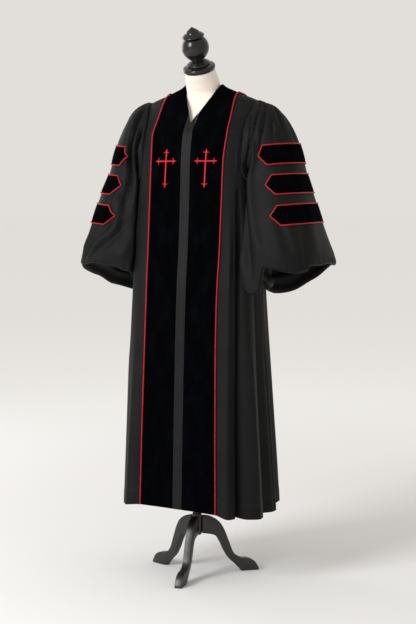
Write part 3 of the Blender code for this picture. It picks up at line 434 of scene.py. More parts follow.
COLUMN_RADIUS = 0.0125
COLUMN_TOP = 0.7990
HUB_BOTTOM = 0.1260
HUB_TOP = 0.1980
HUB_RADIUS = 0.0150
HUB_ROUND = 0.0030
HUB_CORNER = 0.3
STAND_GAP = 0.0003
STAND_SIDES = 48
LEG_COUNT = 3
LEG_TURN = 8.0
LEG_THICK = 0.0230
LEG_STEPS = 10
LEG_CRISP = 35.0
LEG_SOFTENED = 0.0022
SOFTENED_OVER = 40.0
SOFTENED_CRISP = 50.0
LegEdge = namedtuple("LegEdge", "reach height")
LEG_UPPER = table(LegEdge, (
    (0.0153, 0.1870), (0.0400, 0.1840), (0.0690, 0.1680), (0.0880, 0.1400), (0.1030, 0.1020),
    (0.1200, 0.0610), (0.1440, 0.0440), (0.1680, 0.0405), (0.1900, 0.0290), (0.2030, 0.0080),
))
LEG_SOLE = (0.2040, 0.1460)
LEG_LOWER = table(LegEdge, (
    (0.1240, 0.0240), (0.1030, 0.0440), (0.0860, 0.0720), (0.0720, 0.1020), (0.0560, 0.1220),
    (0.0153, 0.1310),
))
WOOD_COLOUR = (0.0120, 0.0113, 0.0112, 1.0)


def satin_black_wood():
    material, tree, inputs = new_material("satin_black_wood", WOOD_COLOUR, 0.36)
    grain = add_noise(tree, object_space(tree), 55.0, 6.0, (5.0, 5.0, 0.7))
    tree.links.new(add_range(tree, grain, 0.28, 0.48), inputs["Roughness"])
    add_bump(tree, inputs, grain, 0.25, 0.0008)
    return material


def smooth_edge(edge, steps):
    """A curve through the points of an edge."""
    spots = [Vector((place.reach, place.height)) for place in edge]
    curve = []
    for index in range(len(spots) - 1):
        p0 = spots[max(index - 1, 0)]
        p1 = spots[index]
        p2 = spots[index + 1]
        p3 = spots[min(index + 2, len(spots) - 1)]
        for step in range(steps if index < len(spots) - 2 else steps + 1):
            t = step / steps
            straight = 2.0 * p1 + (p2 - p0) * t
            bent = (2.0 * p0 - 5.0 * p1 + 4.0 * p2 - p3) * t * t
            bent += (3.0 * p1 - p0 - 3.0 * p2 + p3) * t ** 3
            curve.append(0.5 * (straight + bent))
    return curve


def soften(piece, width):
    """Round the sharp edges of a piece, and keep the result as its mesh."""
    bevel = piece.modifiers.new("softened", "BEVEL")
    bevel.width = width
    bevel.segments = 3
    bevel.limit_method = "ANGLE"
    bevel.angle_limit = radians(SOFTENED_OVER)
    settle(piece)


def settle(piece):
    """Turn what a piece's modifiers make into its plain mesh."""
    finished = piece.evaluated_get(bpy.context.evaluated_depsgraph_get())
    shape = bpy.data.meshes.new_from_object(finished)
    piece.modifiers.clear()
    piece.data = shape


def make_leg(number, material):
    sole = [Vector((reach, 0.0)) for reach in LEG_SOLE]
    outline = smooth_edge(LEG_UPPER, LEG_STEPS) + sole + smooth_edge(LEG_LOWER, LEG_STEPS)
    angle = radians(LEG_TURN + 360.0 * (number - 1) / LEG_COUNT)
    along = Vector((sin(angle), -cos(angle), 0.0))
    across = Vector((cos(angle), sin(angle), 0.0))
    start = Vector((0.0, COLUMN_Y, 0.0))
    count = len(outline)
    points = []
    for offset in (-LEG_THICK / 2.0, LEG_THICK / 2.0):
        points += [start + along * spot.x + across * offset + Vector((0.0, 0.0, spot.y))
                   for spot in outline]
    faces = [tuple(range(count)), tuple(count + index for index in reversed(range(count)))]
    for index in range(count):
        other = (index + 1) % count
        faces.append((index, index + count, other + count, other))
    leg = new_piece("leg_%d_sawn" % number, points, faces, material, crisp=LEG_CRISP)
    soften(leg, LEG_SOFTENED)
    leg.data.set_sharp_from_angle(angle=radians(SOFTENED_CRISP))
    return leg


def make_stand():
    wood = satin_black_wood()
    foot = Vector((0.0, COLUMN_Y, 0.0))
    shy = HUB_ROUND * HUB_CORNER
    hub_profile = table(Turned, (
        (HUB_BOTTOM, HUB_RADIUS - HUB_ROUND), (HUB_BOTTOM + shy, HUB_RADIUS - shy),
        (HUB_BOTTOM + HUB_ROUND, HUB_RADIUS), (HUB_TOP - HUB_ROUND, HUB_RADIUS),
        (HUB_TOP - shy, HUB_RADIUS - shy), (HUB_TOP, HUB_RADIUS - HUB_ROUND),
    ))
    column_profile = table(Turned, (
        (HUB_TOP + STAND_GAP, COLUMN_RADIUS), (COLUMN_TOP, COLUMN_RADIUS),
    ))
    for name, node, profile in (("hub_turned", "hub", hub_profile),
                                ("column_tube", "column", column_profile)):
        piece = turned_piece(name, profile, foot, 0.0, STAND_SIDES, wood)
        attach(piece, "root")
        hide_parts(node)
    for number in range(1, LEG_COUNT + 1):
        leg = make_leg(number, wood)
        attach(leg, "root")
        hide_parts("leg_%d" % number)


make_stand()


# --- Gown cloth: fronts, yokes and back ------------------------------------------------------
# Matte black gown cloth, a fine plain weave.  The back is gathered into a yoke, the fronts hang
# in flutes that open towards the hem, and every seam lies a little lower than the cloth beside it.

CLOTH = 0.0018
SEAM_GAP = 0.0003
HEM = 0.228
UNDERARM = 1.235
YOKE_SEAM = 1.402
SEAM_SINK = 0.0011
SEAM_REACH = 0.006
SEAM_SPACING = (0.0, 0.0012, 0.0025, 0.0040, 0.0060, 0.0085)
SEAM_SHARE = 0.3
HEM_FOLD = 0.045
HEM_SWELL = 0.0007
HEM_LEDGE = 0.004
COLLAR_HALF = 0.117
COLLAR_BACK = 1.498
TIP_HALF = 0.185
ARMHOLE_HALF = 0.168
ARMHOLE_FLARE = 1.410
ARMHOLE_CORNER = 0.070
BodyRing = namedtuple("BodyRing", "height half_width middle front back front_power back_power")
BODY = table(BodyRing, (
    (0.228, 0.223, 0.010, 0.188, 0.180, 4.5, 2.4),
    (0.530, 0.212, 0.008, 0.175, 0.160, 4.5, 2.4),
    (0.915, 0.203, 0.006, 0.152, 0.136, 4.2, 2.4),
    (1.070, 0.200, 0.006, 0.135, 0.128, 4.0, 2.4),
    (1.235, 0.192, 0.008, 0.126, 0.122, 3.4, 2.4),
    (1.315, 0.190, 0.010, 0.124, 0.120, 3.0, 2.4),
    (1.400, 0.200, 0.018, 0.118, 0.108, 2.5, 2.3),
    (1.450, 0.210, 0.026, 0.094, 0.090, 2.1, 2.1),
    (1.487, 0.205, 0.030, 0.072, 0.077, 2.0, 2.0),
    (1.507, 0.185, 0.031, 0.058, 0.071, 2.0, 2.0),
    (1.535, 0.117, 0.030, 0.040, 0.063, 2.0, 2.0),
    (1.563, 0.064, 0.022, 0.026, 0.058, 2.0, 2.0),
    (1.600, 0.056, 0.015, 0.022, 0.050, 2.0, 2.0),
))
EdgeAt = namedtuple("EdgeAt", "height half_width")
VELVET_EDGE = table(EdgeAt, (
    (0.228, 0.1305), (0.530, 0.1258), (0.890, 0.1210), (1.100, 0.1225), (1.315, 0.1225),
    (1.402, 0.1270),
))
Flute = namedtuple("Flute", "start end lift top crest")
FLUTES_LEFT = table(Flute, (
    (0.190, 0.286, 0.016, 1.10, 0.45),
    (0.286, 0.466, 0.034, 1.20, 0.46),
    (0.466, 0.600, 0.030, 1.16, 0.52),
    (0.600, 0.735, 0.026, 1.36, 0.55),
    (0.735, 0.870, 0.030, 1.38, 0.47),
    (0.870, 1.000, 0.024, 1.38, 0.52),
))
FLUTES_RIGHT = table(Flute, (
    (0.190, 0.300, 0.014, 1.08, 0.50),
    (0.300, 0.440, 0.005, 1.18, 0.54),
    (0.440, 0.580, 0.028, 1.14, 0.46),
    (0.580, 0.720, 0.030, 1.36, 0.52),
    (0.720, 0.860, 0.026, 1.38, 0.48),
    (0.860, 1.000, 0.030, 1.38, 0.50),
))
FLUTE_SHARPNESS = 0.55
BACK_GATHERS = 9
BACK_GATHER_LIFT = 0.0035
BACK_GATHER_DROP = 0.22
BACK_GATHER_RISE = 0.012
Fold = namedtuple("Fold", "across width lift foot top drift slow")
FOLDS_LEFT = table(Fold, (
    (0.318, 0.010, 0.0022, 1.060, 1.402, 0.004, 1.0),
    (0.344, 0.009, 0.0028, 1.130, 1.402, 0.002, 1.0),
    (0.372, 0.010, 0.0026, 1.170, 1.402, -0.004, 1.0),
    (0.2820, 0.0060, -0.0200, 0.228, 1.330, 0.040, 5.5),
    (0.2440, 0.0160, 0.0090, 0.228, 1.200, 0.030, 1.0),
    (0.356, 0.0160, 0.0050, 0.228, 0.800, 0.012, 1.0),
    (0.448, 0.0080, -0.0090, 0.228, 1.150, -0.006, 2.0),
    (0.530, 0.014, -0.0036, 0.228, 0.820, -0.006, 1.0),
    (0.690, 0.016, 0.0040, 0.228, 1.080, 0.010, 1.0),
    (0.800, 0.012, -0.0030, 0.300, 1.180, -0.008, 1.0),
    (0.925, 0.014, 0.0036, 0.228, 0.760, 0.006, 1.0),
    (0.780, 0.020, 0.0030, 1.060, 1.330, 0.000, 1.0),
))
FOLDS_RIGHT = table(Fold, (
    (0.308, 0.009, 0.0026, 1.100, 1.402, 0.003, 1.0),
    (0.336, 0.010, 0.0030, 1.060, 1.402, 0.002, 1.0),
    (0.366, 0.009, 0.0022, 1.150, 1.402, -0.003, 1.0),
    (0.236, 0.013, -0.0022, 0.228, 0.880, 0.004, 1.0),
    (0.372, 0.015, 0.0036, 0.228, 0.800, -0.010, 1.0),
    (0.505, 0.014, -0.0040, 0.228, 0.760, 0.006, 1.0),
    (0.655, 0.014, -0.0032, 0.228, 0.980, -0.008, 1.0),
    (0.790, 0.016, 0.0040, 0.228, 0.860, 0.008, 1.0),
    (0.905, 0.012, -0.0030, 0.300, 1.120, -0.004, 1.0),
    (0.700, 0.020, 0.0030, 1.080, 1.340, 0.000, 1.0),
))
LEFT = 1
RIGHT = -1
SIDE_NAMES = {RIGHT: "right", LEFT: "left"}
SIDE_FLUTES = {RIGHT: FLUTES_RIGHT, LEFT: FLUTES_LEFT}
SIDE_FOLDS = {RIGHT: FOLDS_RIGHT, LEFT: FOLDS_LEFT}
HangAt = namedtuple("HangAt", "x rise")
HANG = table(HangAt, (
    (-0.220, 0.000), (-0.135, 0.012), (0.000, 0.008), (0.130, 0.000), (0.175, -0.008),
    (0.215, -0.013),
))
HANG_TOP = 0.85
HANG_BACK = 0.11
RIDGE_FROM = 1.450
RING_STEPS = 240
ACROSS_STEP = 0.008
HEIGHT_STEP = 0.005
PANEL_ROWS = 150
YOKE_ROWS = 26
FRONT_COLUMNS = 110
BACK_COLUMNS = 120
YOKE_COLUMNS = 24
YOKE_DEPTH = 0.13
YOKE_WIDTH = 0.06
YOKE_BACK_DEPTH = 0.12
YOKE_BACK_WIDTH = 0.4
CLOTH_COLOUR = (0.0050, 0.0051, 0.0052, 1.0)
CLOTH_WORN = (0.0072, 0.0073, 0.0074, 1.0)
CLOTH_THREAD = 0.00042
CLOTH_CRISP = 58.0


def rise_over(stretch, value):
    """A smooth step from 0 at the stretch's start to 1 at its end."""
    start, end = stretch
    return ease((value - start) / (end - start))


def signed_power(value, power):
    return abs(value) ** power * (1.0 if value >= 0.0 else -1.0)


@lru_cache(maxsize=None)
def half_ring(height):
    """Points of a ring from the centre front to the centre back, and the length up to each."""
    row = read_table(BODY, height)
    points = []
    for step in range(RING_STEPS + 1):
        turn = pi * step / RING_STEPS
        reach, power = (row.front, row.front_power) if turn < pi / 2 else (row.back, row.back_power)
        x = row.half_width * abs(sin(turn)) ** (2.0 / power)
        y = row.middle - reach * signed_power(cos(turn), 2.0 / power)
        points.append((x, y))
    lengths = [0.0]
    for (x0, y0), (x1, y1) in zip(points, points[1:]):
        lengths.append(lengths[-1] + sqrt((x1 - x0) ** 2 + (y1 - y0) ** 2))
    return points, lengths


def ring_length(height):
    return half_ring(height)[1][-1]


def side_across(height):
    """The share of the way round at which a ring is widest."""
    return half_ring(height)[1][RING_STEPS // 2] / ring_length(height)


def front_across(height, half_width, front=True):
    """The share of the way round at which the front, or the back, of a ring has this half width."""
    points, lengths = half_ring(height)
    whole = lengths[-1]
    if not front:
        points, lengths = points[::-1], lengths[::-1]
    widths = [x for x, _ in points[:RING_STEPS // 2 + 1]]
    if half_width >= widths[-1]:
        return side_across(height)
    upper = max(bisect_left(widths, half_width), 1)
    share = (half_width - widths[upper - 1]) / (widths[upper] - widths[upper - 1])
    return lerp(lengths[upper - 1], lengths[upper], share) / whole


def back_across(height, half_width):
    return front_across(height, half_width, front=False)


def ring_point(height, across):
    """A point of the plain ring, with no flutes."""
    if across < 0.0:
        x, y = ring_point(height, -across)
        return -x, y
    if across > 1.0:
        x, y = ring_point(height, 2.0 - across)
        return -x, y
    points, lengths = half_ring(height)
    target = across * lengths[-1]
    upper = min(max(bisect_left(lengths, target), 1), RING_STEPS)
    share = (target - lengths[upper - 1]) / (lengths[upper] - lengths[upper - 1])
    (x0, y0), (x1, y1) = points[upper - 1], points[upper]
    return lerp(x0, x1, share), lerp(y0, y1, share)


def flute_wave(flute, across):
    """The flute's rounded ridge between two tighter valleys; its crest lies off the middle."""
    share = (across - flute.start) / (flute.end - flute.start)
    if share < flute.crest:
        share = 0.5 * share / flute.crest
    else:
        share = 1.0 - 0.5 * (1.0 - share) / (1.0 - flute.crest)
    return lerp(0.5 - 0.5 * cos(2.0 * pi * share), sin(pi * share), FLUTE_SHARPNESS)


@lru_cache(maxsize=None)
def gather_start():
    return back_across(YOKE_SEAM, ARMHOLE_HALF)


def cloth_lift(side, across, height):
    """How far the flutes, the back's small gathers and the single folds stand out here."""
    lift = 0.0
    for flute in SIDE_FLUTES[side]:
        if flute.start < across < flute.end and height < flute.top:
            fade = ease((flute.top - height) / (flute.top - HEM))
            lift += flute.lift * flute_wave(flute, across) * fade
    below_seam = YOKE_SEAM - height
    if across > gather_start() and 0.0 <= below_seam < BACK_GATHER_DROP:
        share = (across - gather_start()) / (1.0 - gather_start())
        fade = (1.0 - below_seam / BACK_GATHER_DROP) * ease(share * BACK_GATHERS)
        rise = ease(below_seam / BACK_GATHER_RISE)
        lift += BACK_GATHER_LIFT * fade * rise * (0.5 - 0.5 * cos(2.0 * pi * BACK_GATHERS * share))
    for fold in SIDE_FOLDS[side]:
        if fold.foot - 0.01 < height < fold.top:
            share = (height - fold.foot) / (fold.top - fold.foot)
            off = (across - fold.across - fold.drift * share) / fold.width
            off = off / fold.slow if off > 0.0 else off
            if abs(off) < 2.5:
                fade = ease((1.0 - share) * 4.0) * (1.0 if fold.foot == HEM else ease(share * 2.0))
                lift += fold.lift * fade * exp(-off * off)
    return lift


def hang(x, y, height):
    """The hem hangs a little lower at the wearer's left than over the right front."""
    fade = ease((HANG_TOP - height) / (HANG_TOP - HEM)) * ease((HANG_BACK - y) / HANG_BACK)
    return read_table(HANG, x).rise * fade


def body_point(side, across, height):
    """A point of the gown's body; below 0 and above 1 it runs on to the other side."""
    if across < 0.0:
        return body_point(-side, -across, height)
    if across > 1.0:
        return body_point(-side, 2.0 - across, height)
    x, y = ring_point(height, across)
    x0, y0 = ring_point(height, across - ACROSS_STEP)
    x1, y1 = ring_point(height, across + ACROSS_STEP)
    run = sqrt((x1 - x0) ** 2 + (y1 - y0) ** 2)
    lift = cloth_lift(side, across, height)
    x += lift * (y1 - y0) / run
    y -= lift * (x1 - x0) / run
    if height < HANG_TOP and y < HANG_BACK:
        height += hang(side * x, y, height)
    return Vector((side * x, y, height))


def body_normal(side, across, height):
    """The outward direction at a point of the body."""
    front, back = (body_point(side, across + step, height) for step in (-ACROSS_STEP, ACROSS_STEP))
    upper, lower = (body_point(side, across, height + step) for step in (HEIGHT_STEP, -HEIGHT_STEP))
    return (side * (back - front).cross(upper - lower)).normalized()


def lifted(side, across, height, lift):
    """A point this far off the body's surface."""
    return body_point(side, across, height) + body_normal(side, across, height) * lift


def ridge_height(half_width):
    """The height of the shoulder ridge at a half width."""
    low = RIDGE_FROM
    high = BODY[-1].height
    for _ in range(30):
        middle = (low + high) / 2.0
        if read_table(BODY, middle).half_width > half_width:
            low = middle
        else:
            high = middle
    return low


TIP_HEIGHT = ridge_height(TIP_HALF)
COLLAR_HEIGHT = ridge_height(COLLAR_HALF)


def armhole_half(height):
    """The armhole's edge is upright, then flares out to the shoulder tip."""
    share = max(height - ARMHOLE_FLARE, 0.0) / (TIP_HEIGHT - ARMHOLE_FLARE)
    return lerp(ARMHOLE_HALF, TIP_HALF, share * share)


def armhole_across(height, front):
    """The armhole's edge at a height; above the shoulder tip it is the ridge."""
    side = side_across(height)
    if height >= TIP_HEIGHT:
        return side
    finder = front_across if front else back_across
    edge = finder(height, armhole_half(height))
    if height >= UNDERARM + ARMHOLE_CORNER:
        return edge
    if height <= UNDERARM:
        return side
    above = 1.0 - (height - UNDERARM) / ARMHOLE_CORNER
    return lerp(edge, side, 1.0 - sqrt(1.0 - above * above))


def velvet_edge(height):
    return front_across(height, read_table(VELVET_EDGE, height).half_width)


def gap_share(height):
    """Half a seam gap as a share of the way round."""
    return SEAM_GAP / 2.0 / ring_length(height)


def seam_spaced(count, length):
    """Shares from 0 to 1, with closer ones beside both ends for the seams to sink in."""
    near = [min(distance / length, SEAM_SHARE) for distance in SEAM_SPACING]
    inner = [lerp(near[-1], 1.0 - near[-1], step / count) for step in range(1, count)]
    return near + inner + [1.0 - share for share in reversed(near)]


def sink(distance):
    """How far the cloth lies below its surface this near to a seam."""
    return SEAM_SINK * (1.0 - ease(distance / SEAM_REACH))


def cloth_map(mesh, rows, columns, closed):
    """A UV map in metres: u along a row from its middle, v up the rows."""
    width = columns + 1 if closed else columns
    vertices = mesh.vertices
    along = [[0.0] * width for _ in range(rows)]
    for i in range(rows):
        for j in range(1, width):
            step = vertices[i * columns + j % columns].co - vertices[i * columns + j - 1].co
            along[i][j] = along[i][j - 1] + step.length
        half = along[i][-1] / 2.0
        along[i] = [value - half for value in along[i]]
    up = [0.0]
    for i in range(1, rows):
        here = i * columns + columns // 2
        up.append(up[-1] + (vertices[here].co - vertices[here - columns].co).length)
    layer = mesh.uv_layers.new(name="cloth")
    for face in mesh.polygons:
        columns_here = [index % columns for index in face.vertices]
        wraps = closed and max(columns_here) - min(columns_here) > 1
        for loop, index in zip(face.loop_indices, face.vertices):
            i, j = divmod(index, columns)
            if wraps and j == 0:
                j = columns
            layer.data[loop].uv = (along[i][j], up[i])


def cloth_piece(name, rows, thickness, material, closed=False):
    """A shell of cloth through rows of points; a closed one meets itself."""
    height = len(rows)
    width = len(rows[0])
    faces = []
    for i in range(height - 1):
        for j in range(width if closed else width - 1):
            k = (j + 1) % width
            here, above = i * width, (i + 1) * width
            faces.append((here + j, here + k, above + k, above + j))
    piece = new_piece(name, [point for row in rows for point in row], faces, material)
    cloth_map(piece.data, height, width, closed)
    shell = piece.modifiers.new("thickness", "SOLIDIFY")
    shell.thickness = thickness
    shell.offset = 0.0
    settle(piece)
    piece.data.set_sharp_from_angle(angle=radians(CLOTH_CRISP))
    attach(piece, "root")
    return piece


def own_map(tree):
    """The piece's own UV map, in metres along the cloth."""
    return add_node(tree, "ShaderNodeTexCoord", {})["UV"]


def add_threads(tree, vector, pitch, direction):
    """Rounded threads side by side, at a pitch in metres."""
    wave = {"Vector": vector, "Scale": pi / (10.0 * pitch), "Distortion": 0.0}
    return add_node(tree, "ShaderNodeTexWave", wave, bands_direction=direction)["Fac"]


def add_maths(tree, operation, first, second):
    return add_node(tree, "ShaderNodeMath", {0: first, 1: second}, operation=operation)["Value"]


def gown_cloth():
    material, tree, inputs = new_material("gown_cloth", CLOTH_COLOUR, 0.58, {
        "Specular IOR Level": 0.10, "Sheen Weight": 0.024,
        "Sheen Roughness": 0.25, "Sheen Tint": (0.80, 0.80, 0.84, 1.0)})
    cloth = own_map(tree)
    tone = add_noise(tree, cloth, 9.0, 5.0)
    colour_by(tree, inputs, tone, 0.35, 0.72, CLOTH_COLOUR, CLOTH_WORN)
    warp, weft = (add_threads(tree, cloth, CLOTH_THREAD, way) for way in ("X", "Y"))
    weave = add_maths(tree, "MULTIPLY", warp, weft)
    slub = add_noise(tree, cloth, 1.0, 2.0, (900.0, 60.0, 1.0))
    add_bump(tree, inputs, add_maths(tree, "ADD", weave, slub), 0.30, 0.0003)
    return material


def panel_point(side, across, height, from_side, top):
    """A point of a front or the back, sunk beside its seams and thicker where the hem is turned."""
    depth = sink(from_side) + sink(top - height)
    swell = HEM_SWELL * (1.0 - ease((height - HEM - HEM_FOLD + HEM_LEDGE) / HEM_LEDGE))
    return lifted(side, across, height, swell - depth)


def make_front(side, material):
    top = YOKE_SEAM - SEAM_GAP / 2.0
    rows = []
    for share_up in seam_spaced(PANEL_ROWS, top - HEM):
        height = lerp(HEM, top, share_up)
        inner = velvet_edge(height) + gap_share(height)
        outer = armhole_across(height, True) - gap_share(height)
        width = (outer - inner) * ring_length(height)
        rows.append([panel_point(side, lerp(inner, outer, share), height,
                                 min(share, 1.0 - share) * width, top)
                     for share in seam_spaced(FRONT_COLUMNS, width)])
    front = cloth_piece("front_%s_cloth" % SIDE_NAMES[side], rows, CLOTH, material)
    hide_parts("front_" + SIDE_NAMES[side])


def mirrored(share):
    """The side that a share of the whole width is on, and its place from the edge to the middle."""
    return RIGHT if share < 0.5 else LEFT, 1.0 - abs(2.0 * share - 1.0)


def make_back(material):
    top = YOKE_SEAM - SEAM_GAP / 2.0
    rows = []
    for share_up in seam_spaced(PANEL_ROWS, top - HEM):
        height = lerp(HEM, top, share_up)
        edge = armhole_across(height, False) + gap_share(height)
        width = 2.0 * (1.0 - edge) * ring_length(height)
        row = []
        for share in seam_spaced(2 * BACK_COLUMNS, width):
            side, place = mirrored(share)
            across = lerp(edge, 1.0, place)
            row.append(panel_point(side, across, height, min(share, 1.0 - share) * width, top))
        rows.append(row)
    back = cloth_piece("back_cloth", rows, CLOTH, material)
    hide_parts("back")


def velvet_outer(step):
    """The velvet's outer edge above the yoke seam: a half width and a height, at a step."""
    height = lerp(YOKE_SEAM, COLLAR_HEIGHT, sin(pi / 2.0 * step))
    return lerp(VELVET_EDGE[-1].half_width, COLLAR_HALF, step), height


def make_yoke(side, material):
    rows = []
    for step in seam_spaced(YOKE_ROWS, YOKE_DEPTH):
        row = []
        for part in seam_spaced(YOKE_COLUMNS, YOKE_WIDTH):
            top = ridge_height(lerp(COLLAR_HALF, TIP_HALF, part))
            height = lerp(YOKE_SEAM + SEAM_GAP / 2.0, top, sin(pi / 2.0 * step))
            half = lerp(velvet_outer(step)[0], armhole_half(height), part)
            across = side_across(height) if step == 1.0 else front_across(height, half)
            across += gap_share(height) * (1.0 - 2.0 * part) * (step < 1.0)
            depth = sink(min(part, 1.0 - part) * YOKE_WIDTH)
            depth += sink(min(step, 1.0 - step) * YOKE_DEPTH)
            point = lifted(side, across, height, -depth)
            row.append(point + Vector((0.0, -SEAM_GAP / 2.0 * (step == 1.0), 0.0)))
        rows.append(row)
    yoke = cloth_piece("yoke_%s_cloth" % SIDE_NAMES[side], rows, CLOTH, material)
    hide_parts("yoke_" + SIDE_NAMES[side])


def collar_height(share):
    """The outer edge of the velvet round the back of the neck."""
    return lerp(COLLAR_HEIGHT, COLLAR_BACK, sin(pi / 2.0 * share))


YOKE_RIDGE_SHARE = 0.34


def yoke_back_point(side, place, step):
    """A place of 0 is at the armhole and 1 at the centre back; a step of 1 is the top edge."""
    on_ridge = place <= YOKE_RIDGE_SHARE
    collar_share = max(place - YOKE_RIDGE_SHARE, 0.0) / (1.0 - YOKE_RIDGE_SHARE)
    if on_ridge:
        top = ridge_height(lerp(TIP_HALF, COLLAR_HALF, place / YOKE_RIDGE_SHARE))
    else:
        top = collar_height(collar_share) - SEAM_GAP / 2.0
    height = lerp(YOKE_SEAM + SEAM_GAP / 2.0, top, sin(pi / 2.0 * step))
    part = lerp(place, collar_share, step)
    edge = armhole_across(height, False)
    if not on_ridge:
        edge = lerp(edge, side_across(height), step)
    across = lerp(edge, 1.0, part) + gap_share(height) * (1.0 - place)
    if step == 1.0 and on_ridge:
        return body_point(side, side_across(height), height) + Vector((0.0, SEAM_GAP / 2.0, 0.0))
    depth = sink(place * YOKE_BACK_WIDTH / 2.0) + sink(min(step, 1.0 - step) * YOKE_BACK_DEPTH)
    return lifted(side, across, height, -depth)


def make_yoke_back(material):
    rows = []
    for step in seam_spaced(YOKE_ROWS, YOKE_BACK_DEPTH):
        rows.append([yoke_back_point(*mirrored(share), step)
                     for share in seam_spaced(4 * YOKE_COLUMNS, YOKE_BACK_WIDTH)])
    yoke = cloth_piece("yoke_back_cloth", rows, CLOTH, material)
    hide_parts("yoke_back")


black_cloth = gown_cloth()
make_back(black_cloth)
make_yoke_back(black_cloth)
for gown_side in (RIGHT, LEFT):
    make_front(gown_side, black_cloth)
    make_yoke(gown_side, black_cloth)


# --- Velvet fronts and neck ------------------------------------------------------------------
# Two broad strips of black cotton velvet, joined behind the neck by a third, are laid over the
# cloth from the hem to the shoulders.  The pile lies down the strip, so it drinks the light.

VELVET = 0.0022
BAND_WIDTH = 0.0155
BAND_TOP = 1.469
NECK_HALF = 0.064
NECK_HEIGHT = 1.563
NECK_TURN = sin(pi / 5.0)
BACK_NECK = 1.558
VELVET_COLUMNS = 34
NECK_COLUMNS = 60
VELVET_WIDTH = 0.11
COLLAR_LENGTH = 0.24
COLLAR_DEPTH = 0.07
VELVET_WAVE = 0.0011
VELVET_WAVES = ((31.0, 5.0), (-11.0, 7.3))
VELVET_COLOUR = (0.0006, 0.0007, 0.0011, 1.0)
VELVET_BRUSHED = (0.0016, 0.0018, 0.0026, 1.0)


def cotton_velvet():
    material, tree, inputs = new_material("cotton_velvet", VELVET_COLOUR, 0.95, {
        "Specular IOR Level": 0.01, "Sheen Weight": 0.005,
        "Sheen Roughness": 0.28, "Sheen Tint": (0.62, 0.68, 0.90, 1.0)})
    cloth = own_map(tree)
    brushed = add_noise(tree, cloth, 1.0, 5.0, (26.0, 11.0, 1.0))
    colour_by(tree, inputs, brushed, 0.42, 0.72, VELVET_COLOUR, VELVET_BRUSHED)
    pile = add_noise(tree, cloth, 1.0, 2.0, (1800.0, 900.0, 1.0))
    lay = add_noise(tree, cloth, 1.0, 3.0, (60.0, 34.0, 1.0))
    add_bump(tree, inputs, add_maths(tree, "ADD", pile, lay), 0.35, 0.0009)
    return material


def velvet_inner(step):
    """The velvet's inner edge: beside the strip up to its top, then along the neck's V."""
    share = sin(pi / 2.0 * step)
    if share <= NECK_TURN:
        return BAND_WIDTH, lerp(YOKE_SEAM, BAND_TOP, share / NECK_TURN)
    part = (share - NECK_TURN) / (1.0 - NECK_TURN)
    return lerp(BAND_WIDTH, NECK_HALF, part), lerp(BAND_TOP, NECK_HEIGHT, part)


def velvet_ripple(across, height):
    """Faint, slow waves in the heavy pile."""
    one, other = (sin(round_it * across + up * height) for round_it, up in VELVET_WAVES)
    return VELVET_WAVE * one * other


def velvet_point(side, across, height, share, width):
    lift = velvet_ripple(across * side, height) - sink(min(share, 1.0 - share) * width)
    return lifted(side, across, height, lift)


def make_velvet(side, material):
    rows = []
    for share_up in [step / PANEL_ROWS for step in range(PANEL_ROWS)]:
        height = lerp(HEM, YOKE_SEAM, share_up)
        inner = front_across(height, BAND_WIDTH) + gap_share(height)
        outer = velvet_edge(height) - gap_share(height)
        width = (outer - inner) * ring_length(height)
        rows.append([velvet_point(side, lerp(inner, outer, share), height, share, width)
                     for share in seam_spaced(VELVET_COLUMNS, width)])
    for step in [index / YOKE_ROWS for index in range(YOKE_ROWS + 1)]:
        inner_half, inner_height = velvet_inner(step)
        outer_half, outer_height = velvet_outer(step)
        row = []
        for share in seam_spaced(VELVET_COLUMNS, VELVET_WIDTH):
            half = lerp(inner_half, outer_half, share)
            height = lerp(inner_height, outer_height, share)
            if step == 1.0:
                height = ridge_height(half)
                across = side_across(height)
            else:
                across = front_across(height, half) + gap_share(height) * (1.0 - 2.0 * share)
            point = velvet_point(side, across, height, share, VELVET_WIDTH)
            row.append(point + Vector((0.0, -SEAM_GAP / 2.0 * (step == 1.0), 0.0)))
        rows.append(row)
    velvet = cloth_piece("velvet_%s_strip" % SIDE_NAMES[side], rows, VELVET, material)
    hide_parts("velvet_" + SIDE_NAMES[side])


def collar_point(side, share, part):
    """A place on the collar's back: share from shoulder to centre back, part outwards."""
    height = lerp(lerp(NECK_HEIGHT, BACK_NECK, share), collar_height(share), part)
    if share == 0.0:
        height = ridge_height(lerp(NECK_HALF, COLLAR_HALF, part))
    height += SEAM_GAP / 2.0 * (part == 1.0)
    across = lerp(side_across(height), 1.0, share)
    depth = sink(share * COLLAR_LENGTH / 2.0) + sink((1.0 - part) * COLLAR_DEPTH)
    point = lifted(side, across, height, -depth)
    return point + Vector((0.0, SEAM_GAP / 2.0 * (share == 0.0), 0.0))


def make_velvet_neck(material):
    rows = []
    for step in seam_spaced(NECK_COLUMNS, COLLAR_LENGTH):
        rows.append([collar_point(*mirrored(step), part)
                     for part in seam_spaced(VELVET_COLUMNS // 2, COLLAR_DEPTH)])
    neck = cloth_piece("velvet_neck_strip", rows, VELVET, material)
    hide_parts("velvet_neck")


black_velvet = cotton_velvet()
make_velvet_neck(black_velvet)
for gown_side in (RIGHT, LEFT):
    make_velvet(gown_side, black_velvet)


# --- Centre strips ---------------------------------------------------------------------------
# Two narrow strips of smoother black cloth hide the fastening.  They meet edge to edge down the
# centre front and part a little just under the neck's V.

BAND = 0.0020
BAND_RISE = 0.0008
V_POINT = 1.439
PARTING = 0.0032
PARTING_TOP = 0.012
PARTING_FOOT = 0.058
BAND_COLUMNS = 5
BAND_TOP_ROWS = 4
BAND_COLOUR = (0.0045, 0.0047, 0.0050, 1.0)
BAND_WORN = (0.0065, 0.0067, 0.0070, 1.0)


